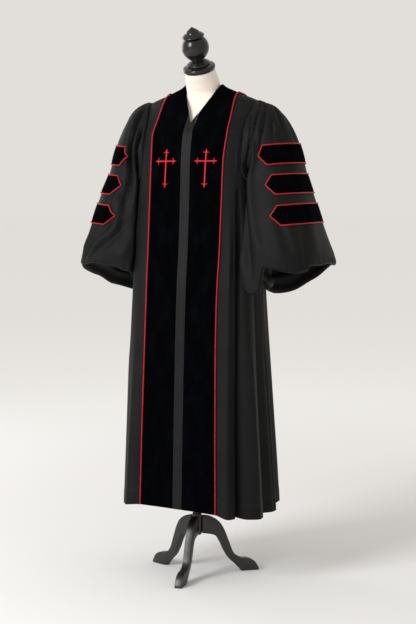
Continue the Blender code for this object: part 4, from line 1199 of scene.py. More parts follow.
def band_cloth():
    material, tree, inputs = new_material("strip_cloth", BAND_COLOUR, 0.50, {
        "Specular IOR Level": 0.14, "Sheen Weight": 0.012, "Sheen Roughness": 0.45})
    cloth = own_map(tree)
    tone = add_noise(tree, cloth, 1.0, 4.0, (160.0, 9.0, 1.0))
    colour_by(tree, inputs, tone, 0.35, 0.70, BAND_COLOUR, BAND_WORN)
    add_bump(tree, inputs, add_threads(tree, cloth, CLOTH_THREAD, "Y"), 0.30, 0.0003)
    return material


def parting_half(height):
    """Half the gap between the strips."""
    open_top = V_POINT - PARTING_TOP
    open_foot = V_POINT - PARTING_FOOT
    if not open_foot < height < open_top:
        return SEAM_GAP / 2.0
    return SEAM_GAP / 2.0 + PARTING / 2.0 * sin(pi * (height - open_foot) / (open_top - open_foot))


def band_point(side, height, share, top_share):
    """A point of a strip; near the top its inner edge stops at the V's point."""
    inner_height = lerp(height, V_POINT, top_share)
    outer_height = lerp(height, BAND_TOP, top_share)
    here = lerp(inner_height, outer_height, share)
    inner = front_across(inner_height, parting_half(inner_height))
    outer = front_across(outer_height, BAND_WIDTH) - gap_share(outer_height)
    across = lerp(inner, outer, share)
    crown = BAND_RISE * sin(pi * min(max(share, 0.0), 1.0)) ** 0.5
    return lifted(side, across, here, crown)


def make_band(side, material):
    top = V_POINT - PARTING_TOP
    stations = [(lerp(HEM, top, step / PANEL_ROWS), 0.0) for step in range(PANEL_ROWS + 1)]
    stations += [(top, step / BAND_TOP_ROWS) for step in range(1, BAND_TOP_ROWS + 1)]
    rows = [[band_point(side, height, column / BAND_COLUMNS, top_share)
             for column in range(BAND_COLUMNS + 1)] for height, top_share in stations]
    band = cloth_piece("band_%s_strip" % SIDE_NAMES[side], rows, BAND, material)
    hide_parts("band_" + SIDE_NAMES[side])


strip_cloth = band_cloth()
for gown_side in (RIGHT, LEFT):
    make_band(gown_side, strip_cloth)


# --- Red piping along the velvet -------------------------------------------------------------
# A thin cotton cord in a red bias-cut binding, sewn into the velvet's outer seam: up the wearer's
# right front, round the back of the neck and down the left front in one length.

PIPING_RADIUS = 0.0022
PIPING_SIDES = 12
PIPING_STEP = 0.004
LAID_ON = 0.0005
PIPING_SUNK = 0.0006
PIPING_COLOUR = (0.300, 0.0042, 0.0095, 1.0)
PIPING_LIGHT = (0.410, 0.0075, 0.0165, 1.0)
BIAS_PITCH = 0.0011


def red_binding():
    material, tree, inputs = new_material("red_binding", PIPING_COLOUR, 0.48, {
        "Specular IOR Level": 0.20, "Sheen Weight": 0.05, "Sheen Tint": (1.0, 0.45, 0.45, 1.0)})
    space = object_space(tree)
    tone = add_noise(tree, space, 70.0, 3.0)
    colour_by(tree, inputs, tone, 0.30, 0.75, PIPING_COLOUR, PIPING_LIGHT)
    turned = (radians(35.0), radians(45.0), 0.0)
    bias = add_node(tree, "ShaderNodeMapping", {"Vector": space, "Rotation": turned})
    add_bump(tree, inputs, add_threads(tree, bias["Vector"], BIAS_PITCH, "X"), 0.25, 0.0003)
    return material


def new_tree(name, sockets):
    """A geometry tree with its named inputs; returns it with what it is given."""
    tree = bpy.data.node_groups.new(name, "GeometryNodeTree")
    tree.interface.new_socket("Geometry", in_out="INPUT", socket_type="NodeSocketGeometry")
    for label, kind, value in sockets:
        socket = tree.interface.new_socket(label, in_out="INPUT", socket_type="NodeSocket" + kind)
        socket.default_value = value
    tree.interface.new_socket("Material", in_out="INPUT", socket_type="NodeSocketMaterial")
    tree.interface.new_socket("Geometry", in_out="OUTPUT", socket_type="NodeSocketGeometry")
    return tree, add_node(tree, "NodeGroupInput", {})


def even_path(tree, given, length):
    """The edges of the mesh as curves, with their points at an even length."""
    path = add_node(tree, "GeometryNodeMeshToCurve", {"Mesh": given["Geometry"]})
    even = {"Curve": path["Curve"], "Length": given[length]}
    return add_node(tree, "GeometryNodeResampleCurve", even, mode="LENGTH")["Curve"]


def round_rod(tree, curve, radius, sides):
    """A round, smooth and capped rod along a curve."""
    ring = {"Resolution": sides, "Radius": radius}
    ring = add_node(tree, "GeometryNodeCurvePrimitiveCircle", ring)["Curve"]
    rod = {"Curve": curve, "Profile Curve": ring, "Fill Caps": True}
    rod = add_node(tree, "GeometryNodeCurveToMesh", rod)["Mesh"]
    return add_node(tree, "GeometryNodeSetShadeSmooth", {"Geometry": rod})["Geometry"]


def end_tree(tree, given, shape):
    """Realize what the tree made, give it its material, and hand it out."""
    shape = add_node(tree, "GeometryNodeRealizeInstances", {"Geometry": shape})["Geometry"]
    dressed = {"Geometry": shape, "Material": given["Material"]}
    dressed = add_node(tree, "GeometryNodeSetMaterial", dressed)["Geometry"]
    add_node(tree, "NodeGroupOutput", {"Geometry": dressed})
    return tree


def cord_tree():
    """A round cord, smooth and capped, along the edges of a mesh."""
    tree, given = new_tree("cord_along_path", (
        ("Radius", "Float", PIPING_RADIUS),
        ("Sides", "Int", PIPING_SIDES),
        ("Step", "Float", PIPING_STEP),
    ))
    path = even_path(tree, given, "Step")
    return end_tree(tree, given, round_rod(tree, path, given["Radius"], given["Sides"]))


def grow(name, paths, tree, values, closed=False):
    """Grow a tree's shape along paths of (point, way, width), and keep it as one plain mesh."""
    places = [place for path in paths for place in path]
    edges = []
    start = 0
    for path in paths:
        edges += [(start + index, start + index + 1) for index in range(len(path) - 1)]
        if closed:
            edges.append((start + len(path) - 1, start))
        start += len(path)
    mesh = bpy.data.meshes.new(name)
    mesh.from_pydata([tuple(point) for point, _, _ in places], edges, [])
    mesh.attributes.new("way", "FLOAT_VECTOR", "POINT")
    mesh.attributes.new("width", "FLOAT", "POINT")
    for index, (_, direction, size) in enumerate(places):
        mesh.attributes["way"].data[index].vector = direction
        mesh.attributes["width"].data[index].value = size
    piece = add_object(name, mesh)
    growth = piece.modifiers.new("growth", "NODES")
    growth.node_group = tree
    for item in tree.interface.items_tree:
        if item.item_type == "SOCKET" and item.in_out == "INPUT" and item.name in values:
            growth[item.identifier] = values[item.name]
    settle(piece)
    for left_over in ("way", "width"):
        if left_over in piece.data.attributes:
            piece.data.attributes.remove(piece.data.attributes[left_over])
    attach(piece, "root")
    return piece


def on_body(side, across, height, rise, width=0.0):
    """A place on a path: a point over the body, its outward direction, and a width."""
    normal = body_normal(side, across, height)
    return body_point(side, across, height) + normal * rise, normal, width


def piping_side(side, rise):
    """The piping's path from the hem up to the shoulder ridge."""
    path = []
    for step in range(PANEL_ROWS):
        height = lerp(HEM, YOKE_SEAM, step / PANEL_ROWS)
        path.append(on_body(side, velvet_edge(height), height, rise))
    for step in range(YOKE_ROWS):
        half, height = velvet_outer(step / YOKE_ROWS)
        path.append(on_body(side, front_across(height, half), height, rise))
    return path


def make_piping(material):
    rise = VELVET / 2.0 + LAID_ON + PIPING_RADIUS - PIPING_SUNK
    path = piping_side(RIGHT, rise)
    for column in range(-NECK_COLUMNS // 2, NECK_COLUMNS // 2 + 1):
        side = RIGHT if column < 0 else LEFT
        share = 1.0 - abs(column) / (NECK_COLUMNS // 2)
        height = collar_height(share)
        path.append(on_body(side, lerp(side_across(height), 1.0, share), height, rise))
    path += reversed(piping_side(LEFT, rise))
    values = {"Radius": PIPING_RADIUS, "Material": material}
    piping = grow("piping_cord", [path], round_cord, values)
    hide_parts("piping")


round_cord = cord_tree()
red_cord = red_binding()
make_piping(red_cord)


# --- Sleeves ---------------------------------------------------------------------------------
# Full bell sleeves of the gown cloth, gathered into the top of the armhole.  The cloth falls in
# long soft folds, and the wide hem is drawn in a little and turned up inside as a puckered facing.

SleeveRing = namedtuple("SleeveRing", "along x y height lean drop out deep power")
SLEEVE = table(SleeveRing, (
    (0.00, 0.198, 0.022, 1.369, 80.0, 0.0, 0.136, 0.106, 2.1),
    (0.12, 0.206, 0.036, 1.360, 70.0, 0.0, 0.134, 0.104, 2.1),
    (0.24, 0.215, 0.048, 1.318, 50.0, 1.0, 0.121, 0.114, 2.1),
    (0.36, 0.225, 0.050, 1.255, 22.0, 3.0, 0.107, 0.128, 2.3),
    (0.52, 0.244, 0.048, 1.175, 15.0, 5.0, 0.112, 0.150, 2.5),
    (0.72, 0.268, 0.050, 1.070, 17.0, 6.0, 0.120, 0.172, 2.5),
    (0.92, 0.287, 0.049, 0.980, 21.0, 5.0, 0.130, 0.187, 2.5),
    (1.00, 0.291, 0.049, 0.952, 24.0, 4.5, 0.134, 0.187, 2.5),
))
SLEEVE_COLUMNS = 264
SLEEVE_STEPS = 96
SLEEVE_LENGTH = 0.60
SLEEVE_GIRTH = 0.88
SLEEVE_ROOT = 0.02
ROOT_ROWS = (0.0, 0.006, 0.012)
SLEEVE_CROWDING = 1.12
CREASE_GROWTH = 0.03
SLEEVE_SPREAD = 0.24
SLEEVE_LIFT = 0.0048
SLEEVE_CLEAR = 0.0045
SLEEVE_CLEAR_SOFT = 0.012
ARMHOLE_STEP = 0.01
ARMHOLE_CLEAR_TOP = 1.33
ARMHOLE_CLEAR_FADE = 0.03
FLUTE_ROOM = 0.036
FRONT_FLUTE_TOP = 1.20
BACK_FLUTE_TOP = 1.38
FRONT_LOBE_LIFT = 0.026
FRONT_LOBE_TURN = 0.385
FRONT_LOBE_WIDTH = 0.075
FRONT_LOBE_RISE = (0.50, 0.88)
Crease = namedtuple("Crease", "lift width path")
CREASES_LEFT = table(Crease, (
    (-0.0085, 0.0066, ((0.02, 0.010), (0.08, 0.070), (0.10, 0.140), (0.12, 0.200), (0.15, 0.250),
                       (0.22, 0.275))),
    (-0.0078, 0.0062, ((0.02, 0.000), (0.10, 0.045), (0.15, 0.125), (0.18, 0.185), (0.24, 0.230))),
    (-0.0078, 0.0070, ((0.02, -0.015), (0.10, 0.020), (0.15, 0.060), (0.21, 0.130), (0.27, 0.160))),
    (-0.0085, 0.0070, ((0.02, -0.030), (0.10, -0.005), (0.15, 0.020), (0.19, 0.050), (0.26, 0.085),
                       )),
    (-0.0078, 0.0079, ((0.02, -0.055), (0.10, -0.050), (0.17, -0.030), (0.24, 0.000), (0.31, 0.015),
                       )),
    (-0.0062, 0.0062, ((0.02, 0.100), (0.06, 0.150), (0.10, 0.205), (0.115, 0.250), (0.13, 0.310),
                       (0.18, 0.360))),
    (0.0059, 0.0079, ((0.03, 0.045), (0.11, 0.105), (0.14, 0.170), (0.19, 0.215), (0.26, 0.235))),
    (0.0056, 0.0088, ((0.03, -0.005), (0.13, 0.040), (0.18, 0.090), (0.25, 0.120))),
    (-0.0078, 0.0079, ((0.02, -0.085), (0.11, -0.100), (0.20, -0.090), (0.30, -0.075))),
    (-0.0071, 0.0075, ((0.02, -0.125), (0.10, -0.155), (0.17, -0.185), (0.27, -0.180))),
    (-0.0078, 0.0075, ((0.02, -0.170), (0.09, -0.215), (0.15, -0.250), (0.26, -0.245))),
    (-0.0062, 0.0070, ((0.02, -0.220), (0.07, -0.270), (0.13, -0.300), (0.22, -0.300))),
    (0.0062, 0.0088, ((0.03, -0.105), (0.12, -0.130), (0.22, -0.130))),
    (0.0062, 0.0088, ((0.03, -0.150), (0.11, -0.190), (0.20, -0.205))),
    (0.0116, 0.0176, ((0.08, 0.190), (0.13, 0.220), (0.20, 0.250), (0.30, 0.280), (0.60, 0.280),
                      (0.97, 0.274))),
    (-0.0119, 0.0190, ((0.16, 0.300), (0.30, 0.325), (0.55, 0.318), (0.78, 0.315), (1.05, 0.304))),
    (-0.0050, 0.0200, ((0.62, 0.195), (0.74, 0.182), (0.90, 0.165))),
    (0.0044, 0.0220, ((0.60, 0.150), (0.76, 0.140), (0.96, 0.118))),
    (-0.0044, 0.0160, ((0.66, 0.085), (0.80, 0.095), (1.04, 0.108))),
    (0.0050, 0.0240, ((0.55, 0.030), (0.75, 0.045), (0.98, 0.060))),
    (-0.0075, 0.0220, ((0.30, -0.120), (0.55, -0.105), (0.80, -0.115), (1.04, -0.130))),
    (0.0075, 0.0240, ((0.28, -0.190), (0.50, -0.180), (0.76, -0.190), (1.00, -0.205))),
    (-0.0088, 0.0200, ((0.34, -0.260), (0.55, -0.250), (0.78, -0.262), (1.04, -0.280))),
    (0.0063, 0.0220, ((0.40, -0.340), (0.66, -0.330), (0.98, -0.350))),
))
CREASES_RIGHT = table(Crease, (
    (-0.0093, 0.0070, ((0.02, 0.030), (0.09, 0.080), (0.13, 0.115), (0.19, 0.170), (0.23, 0.205),
                       (0.31, 0.225))),
    (-0.0139, 0.0088, ((0.02, 0.060), (0.06, 0.100), (0.10, 0.150), (0.12, 0.200), (0.29, 0.258),
                       (0.46, 0.265), (0.60, 0.290))),
    (-0.0093, 0.0070, ((0.02, 0.170), (0.06, 0.225), (0.14, 0.275), (0.25, 0.298), (0.38, 0.370))),
    (0.0093, 0.0097, ((0.04, 0.070), (0.10, 0.115), (0.14, 0.160), (0.24, 0.222), (0.36, 0.238))),
    (0.0093, 0.0106, ((0.05, 0.160), (0.11, 0.225), (0.22, 0.276), (0.40, 0.300), (0.62, 0.322))),
    (-0.0078, 0.0075, ((0.02, 0.000), (0.10, 0.030), (0.16, 0.070), (0.24, 0.110))),
    (-0.0078, 0.0075, ((0.02, -0.035), (0.11, -0.020), (0.18, 0.005), (0.26, 0.030))),
    (-0.0078, 0.0079, ((0.02, -0.070), (0.10, -0.075), (0.19, -0.065), (0.30, -0.050))),
    (-0.0078, 0.0079, ((0.02, -0.110), (0.10, -0.135), (0.18, -0.150), (0.28, -0.145))),
    (-0.0071, 0.0075, ((0.02, -0.155), (0.09, -0.200), (0.16, -0.230), (0.27, -0.225))),
    (-0.0065, 0.0075, ((0.02, -0.205), (0.08, -0.255), (0.14, -0.290), (0.23, -0.290))),
    (0.0059, 0.0088, ((0.03, -0.015), (0.13, 0.010), (0.22, 0.050))),
    (0.0062, 0.0088, ((0.03, -0.092), (0.12, -0.110), (0.22, -0.108))),
    (0.0062, 0.0088, ((0.03, -0.135), (0.11, -0.170), (0.21, -0.185))),
    (0.0106, 0.0130, ((0.44, 0.245), (0.54, 0.252), (0.66, 0.262), (0.83, 0.228), (0.97, 0.196))),
    (-0.0088, 0.0120, ((0.56, 0.250), (0.72, 0.238), (0.86, 0.205), (1.02, 0.170))),
    (-0.0075, 0.0140, ((0.58, 0.290), (0.68, 0.285), (0.86, 0.248), (1.02, 0.222))),
    (0.0075, 0.0150, ((0.60, 0.160), (0.75, 0.165), (0.95, 0.142))),
    (0.0063, 0.0200, ((0.62, 0.345), (0.80, 0.330), (1.00, 0.322))),
    (-0.0075, 0.0220, ((0.50, 0.060), (0.70, 0.070), (1.02, 0.060))),
    (0.0069, 0.0230, ((0.36, -0.040), (0.62, -0.030), (0.98, -0.045))),
    (-0.0075, 0.0210, ((0.30, -0.110), (0.58, -0.120), (1.04, -0.105))),
    (0.0075, 0.0230, ((0.30, -0.180), (0.56, -0.195), (0.98, -0.185))),
    (-0.0081, 0.0210, ((0.34, -0.255), (0.62, -0.265), (1.04, -0.255))),
    (0.0063, 0.0220, ((0.42, -0.335), (0.70, -0.345), (0.98, -0.335))),
))
CREASE_START = 7.0
CREASE_END = 3.0
HemAt = namedtuple("HemAt", "turn rise")
HEM_LEFT = table(HemAt, (
    (-0.250, 0.010), (-0.160, 0.026), (-0.100, 0.014), (-0.020, 0.010), (0.040, 0.001),
    (0.092, 0.004), (0.108, -0.010), (0.145, -0.011), (0.180, -0.002), (0.222, 0.015),
    (0.250, 0.034), (0.268, 0.047), (0.288, -0.020), (0.305, -0.022), (0.330, -0.012),
    (0.352, 0.012), (0.385, 0.046), (0.440, 0.060), (0.510, 0.036), (0.600, 0.006),
    (0.680, 0.000),
))
HEM_RIGHT = table(HemAt, (
    (-0.300, -0.030), (-0.167, -0.066), (-0.083, -0.068), (-0.020, -0.050), (0.030, -0.036),
    (0.065, -0.026), (0.105, -0.006), (0.145, 0.000), (0.180, 0.012), (0.220, 0.028),
    (0.260, 0.042), (0.300, 0.053), (0.345, 0.056), (0.400, 0.066), (0.450, 0.050),
    (0.520, 0.022), (0.600, 0.000),
))
HEM_FROM = 0.62
PUCKERS = 37.0
PUCKER_LIFT = 0.0013
PUCKER_RISE = (0.90, 1.0)
PUCKER_WANDER = ((0.9, 3.0, 0.0), (0.5, 7.0, 1.0))
PUCKER_SWELL = (0.62, 0.38, 5.0, 2.0)
PUCKER_INSIDE = 0.5
HEM_ROLL = 0.0085
HEM_ROLL_STEPS = 9
TurnedUp = namedtuple("TurnedUp", "inward up")
FACING = table(TurnedUp, (
    (0.0165, 0.006), (0.0150, 0.013), (0.0150, 0.020), (0.0180, 0.027), (0.0235, 0.033),
    (0.0270, 0.038), (0.0275, 0.043), (0.0240, 0.048), (0.0190, 0.054), (0.0160, 0.062),
))
SIDE_CREASES = {RIGHT: CREASES_RIGHT, LEFT: CREASES_LEFT}
SIDE_HEMS = {RIGHT: HEM_RIGHT, LEFT: HEM_LEFT}


@lru_cache(maxsize=None)
def armhole_root(side, turn):
    """A point of the armhole, its outward direction and the way into the hole.

    A turn of 0 is the shoulder tip, a quarter the front, a half underneath.
    """
    def edge(at):
        height = lerp(TIP_HEIGHT, UNDERARM, 0.5 - 0.5 * cos(2.0 * pi * at))
        across = armhole_across(height, at % 1.0 <= 0.5)
        return height, across, body_point(side, across, height)
    height, across, point = edge(turn)
    outward = body_normal(side, across, height)
    inward = outward.cross(edge(turn + ARMHOLE_STEP)[2] - edge(turn - ARMHOLE_STEP)[2]).normalized()
    half_way = (TIP_HEIGHT + UNDERARM) / 2.0
    middle = Vector((side * TIP_HALF, read_table(BODY, half_way).middle, half_way))
    if inward.dot(middle - point) < 0.0:
        inward.negate()
    return point, outward, inward


def sleeve_frame(side, along):
    """The ring's middle, its outward and forward directions, and the way down the arm."""
    row = read_table(SLEEVE, along)
    lean = radians(row.lean)
    drop = radians(row.drop)
    outward = Vector((side * cos(lean), 0.0, sin(lean)))
    forward = Vector((0.0, -cos(drop), sin(drop)))
    down = side * outward.cross(forward).normalized()
    return row, Vector((side * row.x, row.y, row.height)), outward, forward, down


def flute_room(height, behind):
    """The room that the body's flutes take at a height, behind or in front of the side seam."""
    top = BACK_FLUTE_TOP if behind else FRONT_FLUTE_TOP
    return FLUTE_ROOM * ease((top - height) / (top - HEM))


def clear_of_body(side, point):
    """Hold a point of the sleeve just outside the body's side."""
    row = read_table(BODY, round(point.z, 4))
    behind = point.y > row.middle
    margin = SLEEVE_CLEAR + flute_room(point.z, behind)
    reach = (row.back if behind else row.front) + margin
    power = row.back_power if behind else row.front_power
    rest = 1.0 - (abs(point.y - row.middle) / reach) ** power
    if rest <= 0.0:
        return point
    limit = (row.half_width + margin) * rest ** (1.0 / power)
    limit *= ease((ARMHOLE_CLEAR_TOP - point.z) / ARMHOLE_CLEAR_FADE)
    overlap = limit - side * point.x
    if overlap > SLEEVE_CLEAR_SOFT:
        point.x = side * limit
    elif overlap > -SLEEVE_CLEAR_SOFT:
        point.x += side * (overlap + SLEEVE_CLEAR_SOFT) ** 2 / (4.0 * SLEEVE_CLEAR_SOFT)
    return point


def crease_grid(creases, turns, alongs):
    """How far the creases stand out, for each row and column of a sleeve."""
    down = np.array(alongs)[:, None] * SLEEVE_LENGTH
    lift = np.zeros((len(alongs), len(turns)))
    for crease in creases:
        first_turn = crease.path[0][1]
        round_it = ((np.array(turns)[None, :] - first_turn + 0.5) % 1.0 - 0.5) * SLEEVE_GIRTH
        spots = [(along * SLEEVE_LENGTH, (turn - first_turn) * SLEEVE_GIRTH)
                 for along, turn in crease.path]
        spans = [sqrt((v1 - v0) ** 2 + (u1 - u0) ** 2)
                 for (v0, u0), (v1, u1) in zip(spots, spots[1:])]
        nearest = np.full(lift.shape, SLEEVE_GIRTH)
        share = np.zeros(lift.shape)
        passed = 0.0
        for (v0, u0), (v1, u1), span in zip(spots, spots[1:], spans):
            part = ((down - v0) * (v1 - v0) + (round_it - u0) * (u1 - u0)) / span ** 2
            part = np.clip(part, 0.0, 1.0)
            distance = np.hypot(down - v0 - part * (v1 - v0), round_it - u0 - part * (u1 - u0))
            closer = distance < nearest
            share = np.where(closer, (passed + part * span) / sum(spans), share)
            nearest = np.minimum(nearest, distance)
            passed += span
        fade = np.clip(share * CREASE_START, 0.0, 1.0)
        fade = fade * np.clip((1.0 - share) * CREASE_END, 0.0, 1.0)
        ridge = crease.lift * np.exp(-(nearest / crease.width) ** 2)
        lift += ridge * fade * fade * (3.0 - 2.0 * fade)
    return lift


def hem_rise(side, turn):
    """How much higher or lower than its level ring the hem hangs here."""
    hem = SIDE_HEMS[side]
    place = (turn - hem[0].turn) % 1.0 + hem[0].turn
    around = hem + (HemAt(hem[0].turn + 1.0, hem[0].rise),)
    return read_table(around, place).rise


def pucker(turn):
    """The small uneven gathers that draw the hem in."""
    wander = sum(size * sin(2.0 * pi * count * turn + start)
                 for size, count, start in PUCKER_WANDER)
    mean, swing, count, start = PUCKER_SWELL
    swell = mean + swing * sin(2.0 * pi * count * turn + start)
    return sin(2.0 * pi * (PUCKERS * turn + wander)) * swell


def sleeve_point(side, turn, along, lift):
    point, outward, inward = armhole_root(side, turn)
    root = point + inward * (SEAM_GAP + CLOTH / 2.0)
    root += outward * SLEEVE_LIFT * min(along / SLEEVE_ROOT, 1.0)
    if along <= SLEEVE_ROOT:
        return root
    row, middle, out, forward, _ = sleeve_frame(side, along)
    angle = 2.0 * pi * turn
    section = (middle + out * row.out * signed_power(cos(angle), 2.0 / row.power)
               + forward * row.deep * signed_power(sin(angle), 2.0 / row.power))
    spread = 1.0 - (1.0 - min((along - SLEEVE_ROOT) / SLEEVE_SPREAD, 1.0)) ** 2
    place = root.lerp(section, spread)
    radial = (place - middle).normalized()
    lobe = exp(-((turn - FRONT_LOBE_TURN) / FRONT_LOBE_WIDTH) ** 2)
    lobe *= rise_over(FRONT_LOBE_RISE, along)
    stand = lift * ease((along - SLEEVE_ROOT) / CREASE_GROWTH) + FRONT_LOBE_LIFT * lobe
    stand += PUCKER_LIFT * rise_over(PUCKER_RISE, along) * pucker(turn)
    place += radial * stand
    place.z += hem_rise(side, turn) * ease((along - HEM_FROM) / (1.0 - HEM_FROM))
    return clear_of_body(side, place)


def sleeve_grid(side):
    """Rows of points from the armhole to the hem, then round the hem's fold and up inside."""
    turns = [column / SLEEVE_COLUMNS for column in range(SLEEVE_COLUMNS)]
    alongs = [*ROOT_ROWS] + [lerp(SLEEVE_ROOT, 1.0, (step / SLEEVE_STEPS) ** SLEEVE_CROWDING)
                             for step in range(SLEEVE_STEPS + 1)]
    lifts = crease_grid(SIDE_CREASES[side], turns, alongs)
    rows = [[sleeve_point(side, turn, along, lifts[i][j]) for j, turn in enumerate(turns)]
            for i, along in enumerate(alongs)]
    _, middle, _, _, down = sleeve_frame(side, 1.0)
    rim = rows[-1]
    inward = []
    for point in rim:
        towards = middle - point
        towards -= down * towards.dot(down)
        inward.append(towards.normalized())
    fold = []
    for step in range(1, HEM_ROLL_STEPS + 1):
        turn = pi * step / HEM_ROLL_STEPS
        fold.append((HEM_ROLL * (1.0 - cos(turn)), HEM_ROLL * sin(turn)))
    fold += [(place.inward, -place.up) for place in FACING]
    for reach, fall in fold:
        depth = [reach + PUCKER_INSIDE * PUCKER_LIFT * pucker(turn) * min(reach / HEM_ROLL, 1.0)
                 for turn in turns]
        rows.append([clear_of_body(side, point + way * deep + down * fall)
                     for point, way, deep in zip(rim, inward, depth)])
    return rows


def make_sleeve(side, material):
    rows = sleeve_grid(side)
    sleeve = cloth_piece("sleeve_%s_cloth" % SIDE_NAMES[side], rows, CLOTH, material, closed=True)
    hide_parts("sleeve_" + SIDE_NAMES[side])
    return rows[:len(ROOT_ROWS) + SLEEVE_STEPS + 1]


sleeves = {gown_side: make_sleeve(gown_side, black_cloth) for gown_side in (RIGHT, LEFT)}


# --- Sleeve bars -----------------------------------------------------------------------------
# Three bars of the same velvet on each sleeve, pointed at front and back, are sewn flat on the
# outside of the cloth.  A thinner red piping is caught in round the edge of each.

Bar = namedtuple("Bar", "point height rise cut_length")
BARS_LEFT = table(Bar, (
    (0.226, 1.334, 0.010, 0.36),
    (0.214, 1.243, 0.008, 0.39),
    (0.216, 1.149, 0.010, 0.43),
))
BARS_RIGHT = table(Bar, (
    (0.223, 1.334, 0.010, 0.36),
    (0.235, 1.243, 0.008, 0.42),
    (0.252, 1.149, 0.010, 0.50),
))
SIDE_BARS = {RIGHT: BARS_RIGHT, LEFT: BARS_LEFT}
BAR_HALF_HEIGHT = 0.0275
BAR_POINT = 0.026
BAR_TIP = 0.0014
BAR_VELVET = 0.0016
BAR_LAID_ON = 0.0011
BAR_PADDING = 0.0009
BAR_PIPING_RADIUS = 0.0020
BAR_PIPING_STEP = 0.003
BAR_TIP_OUT = 1.4
BAR_SHOULDER_OUT = 0.5
BAR_END_PART = 12
SLEEVE_HEAD_ROWS = SLEEVE_STEPS // 6
BAR_STATIONS = 110
BAR_PARTS = 14
SMOOTH_TURN = 0.010
SMOOTH_HEIGHT = 0.009


def on_sleeve(side, turn, height):
    """The point of the sleeve's cloth at a turn and a height, below its head."""
    rows = sleeves[side]
    position = turn % 1.0 * SLEEVE_COLUMNS
    found = []
    for column in (floor(position), floor(position) + 1):
        column %= SLEEVE_COLUMNS
        index = SLEEVE_HEAD_ROWS
        while rows[index + 1][column].z > height:
            index += 1
        high, low = rows[index][column], rows[index + 1][column]
        found.append(high.lerp(low, (high.z - height) / (high.z - low.z)))
    return found[0].lerp(found[1], position - floor(position))


def sleeve_place(side, turn, height):
    """A point of the sleeve, evened out a little, and its outward direction."""
    front, back = (on_sleeve(side, turn + step, height) for step in (SMOOTH_TURN, -SMOOTH_TURN))
    upper, lower = (on_sleeve(side, turn, height + step)
                    for step in (SMOOTH_HEIGHT, -SMOOTH_HEIGHT))
    outward = (side * (front - back).cross(lower - upper)).normalized()
    return on_sleeve(side, turn, height), outward


def bar_half(bar, turn, grow_by):
    """The bar's half height at a turn: full as far as its shoulders, then down to the point."""
    tip = bar.point + grow_by * BAR_TIP_OUT / SLEEVE_GIRTH
    shoulder = bar.point - (BAR_POINT - grow_by * BAR_SHOULDER_OUT) / SLEEVE_GIRTH
    pointed = max((abs(turn) - shoulder) / (tip - shoulder), 0.0)
    return lerp(BAR_HALF_HEIGHT + grow_by, BAR_TIP, min(pointed, 1.0)), tip, shoulder


def bar_turns(bar, grow_by, count):
    """Turns from the front point to the rear point, with one exactly at each shoulder."""
    _, tip, shoulder = bar_half(bar, 0.0, grow_by)
    ends = count // BAR_END_PART
    middle = count - 2 * ends
    turns = [lerp(tip, shoulder, step / ends) for step in range(ends)]
    turns += [lerp(shoulder, -shoulder, step / middle) for step in range(middle)]
    turns += [lerp(-shoulder, -tip, step / ends) for step in range(ends + 1)]
    return turns


def bar_line(bar, turn):
    return bar.height + bar.rise * cos(2.0 * pi * turn)


def bar_edge(side, bar, part, grow_by, rise):
    """Places along the bar: a part of 1 is the upper edge, 0 its middle and -1 the lower edge."""
    for turn in bar_turns(bar, grow_by, BAR_STATIONS):
        height = bar_line(bar, turn) + part * bar_half(bar, turn, grow_by)[0]
        spot, outward = sleeve_place(side, turn, height)
        yield spot + outward * rise, outward, 0.0


def make_bar(side, number, bar, velvet_material, cord_material):
    name = "%s_%d" % (SIDE_NAMES[side], number)
    base = CLOTH / 2.0 + BAR_LAID_ON
    rows = []
    for row in range(BAR_PARTS + 1):
        part = 1.0 - 2.0 * row / BAR_PARTS
        rise = base + BAR_VELVET / 2.0 + BAR_PADDING * (1.0 - part ** 4)
        rows.append([place[0] for place in bar_edge(side, bar, part, 0.0, rise)])
    velvet = cloth_piece("bar_%s_strip" % name, rows, BAR_VELVET, velvet_material)
    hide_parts("bar_" + name)
    grow_by = BAR_PIPING_RADIUS + SEAM_GAP
    upper, lower = (list(bar_edge(side, bar, part, grow_by, base + BAR_PIPING_RADIUS))
                    for part in (1.0, -1.0))
    values = {"Radius": BAR_PIPING_RADIUS, "Step": BAR_PIPING_STEP, "Material": cord_material}
    round_it = [upper + lower[::-1]]
    piping = grow("bar_piping_%s_cord" % name, round_it, round_cord, values, closed=True)
    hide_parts("bar_piping_" + name)


for gown_side in (RIGHT, LEFT):
    for bar_number, sleeve_bar in enumerate(SIDE_BARS[gown_side], 1):
        make_bar(gown_side, bar_number, sleeve_bar, black_velvet, red_cord)


# --- Embroidered crosses ---------------------------------------------------------------------
# A Latin cross with a small curved crosslet near the end of each arm, worked on each velvet front
# in bright red rayon satin stitch: threads side by side across the stroke, over a little padding.

CROSS_MIDDLE = 0.0680
CROSS_TOP = 1.3592
CROSS_BAR = 1.3200
CROSS_FOOT = 1.2362
CROSS_REACH = 0.0385
STROKE_HALF = 0.0022
CROSSLET_STROKE = 0.0015
CROSS_LEAN = 0.030
CROSSLET_HALF = 0.0118
CROSSLET_PLACE = 0.715
CROSSLET_FOOT_PLACE = 0.855
CROSSLET_BEND = 0.0028
TIP_LENGTH = 0.0075
TIP_BLUNT = 0.10
STROKE_STEP = 0.0012
STROKE_LEAST = 8
THREAD_SIDES = 5
THREAD_BENDS = 7
THREAD_RADIUS = 0.00036
THREAD_STEP = 0.00056
THREAD_DOME = 0.0014
THREAD_COLOUR = (0.500, 0.0080, 0.0200, 1.0)
THREAD_LIGHT = (0.660, 0.0170, 0.0380, 1.0)


def red_rayon():
    material, tree, inputs = new_material("red_rayon_thread", THREAD_COLOUR, 0.34, {
        "Specular IOR Level": 0.25, "Anisotropic": 0.5})
    tone = add_noise(tree, object_space(tree), 190.0, 3.0)
    colour_by(tree, inputs, tone, 0.35, 0.70, THREAD_COLOUR, THREAD_LIGHT)
    return material


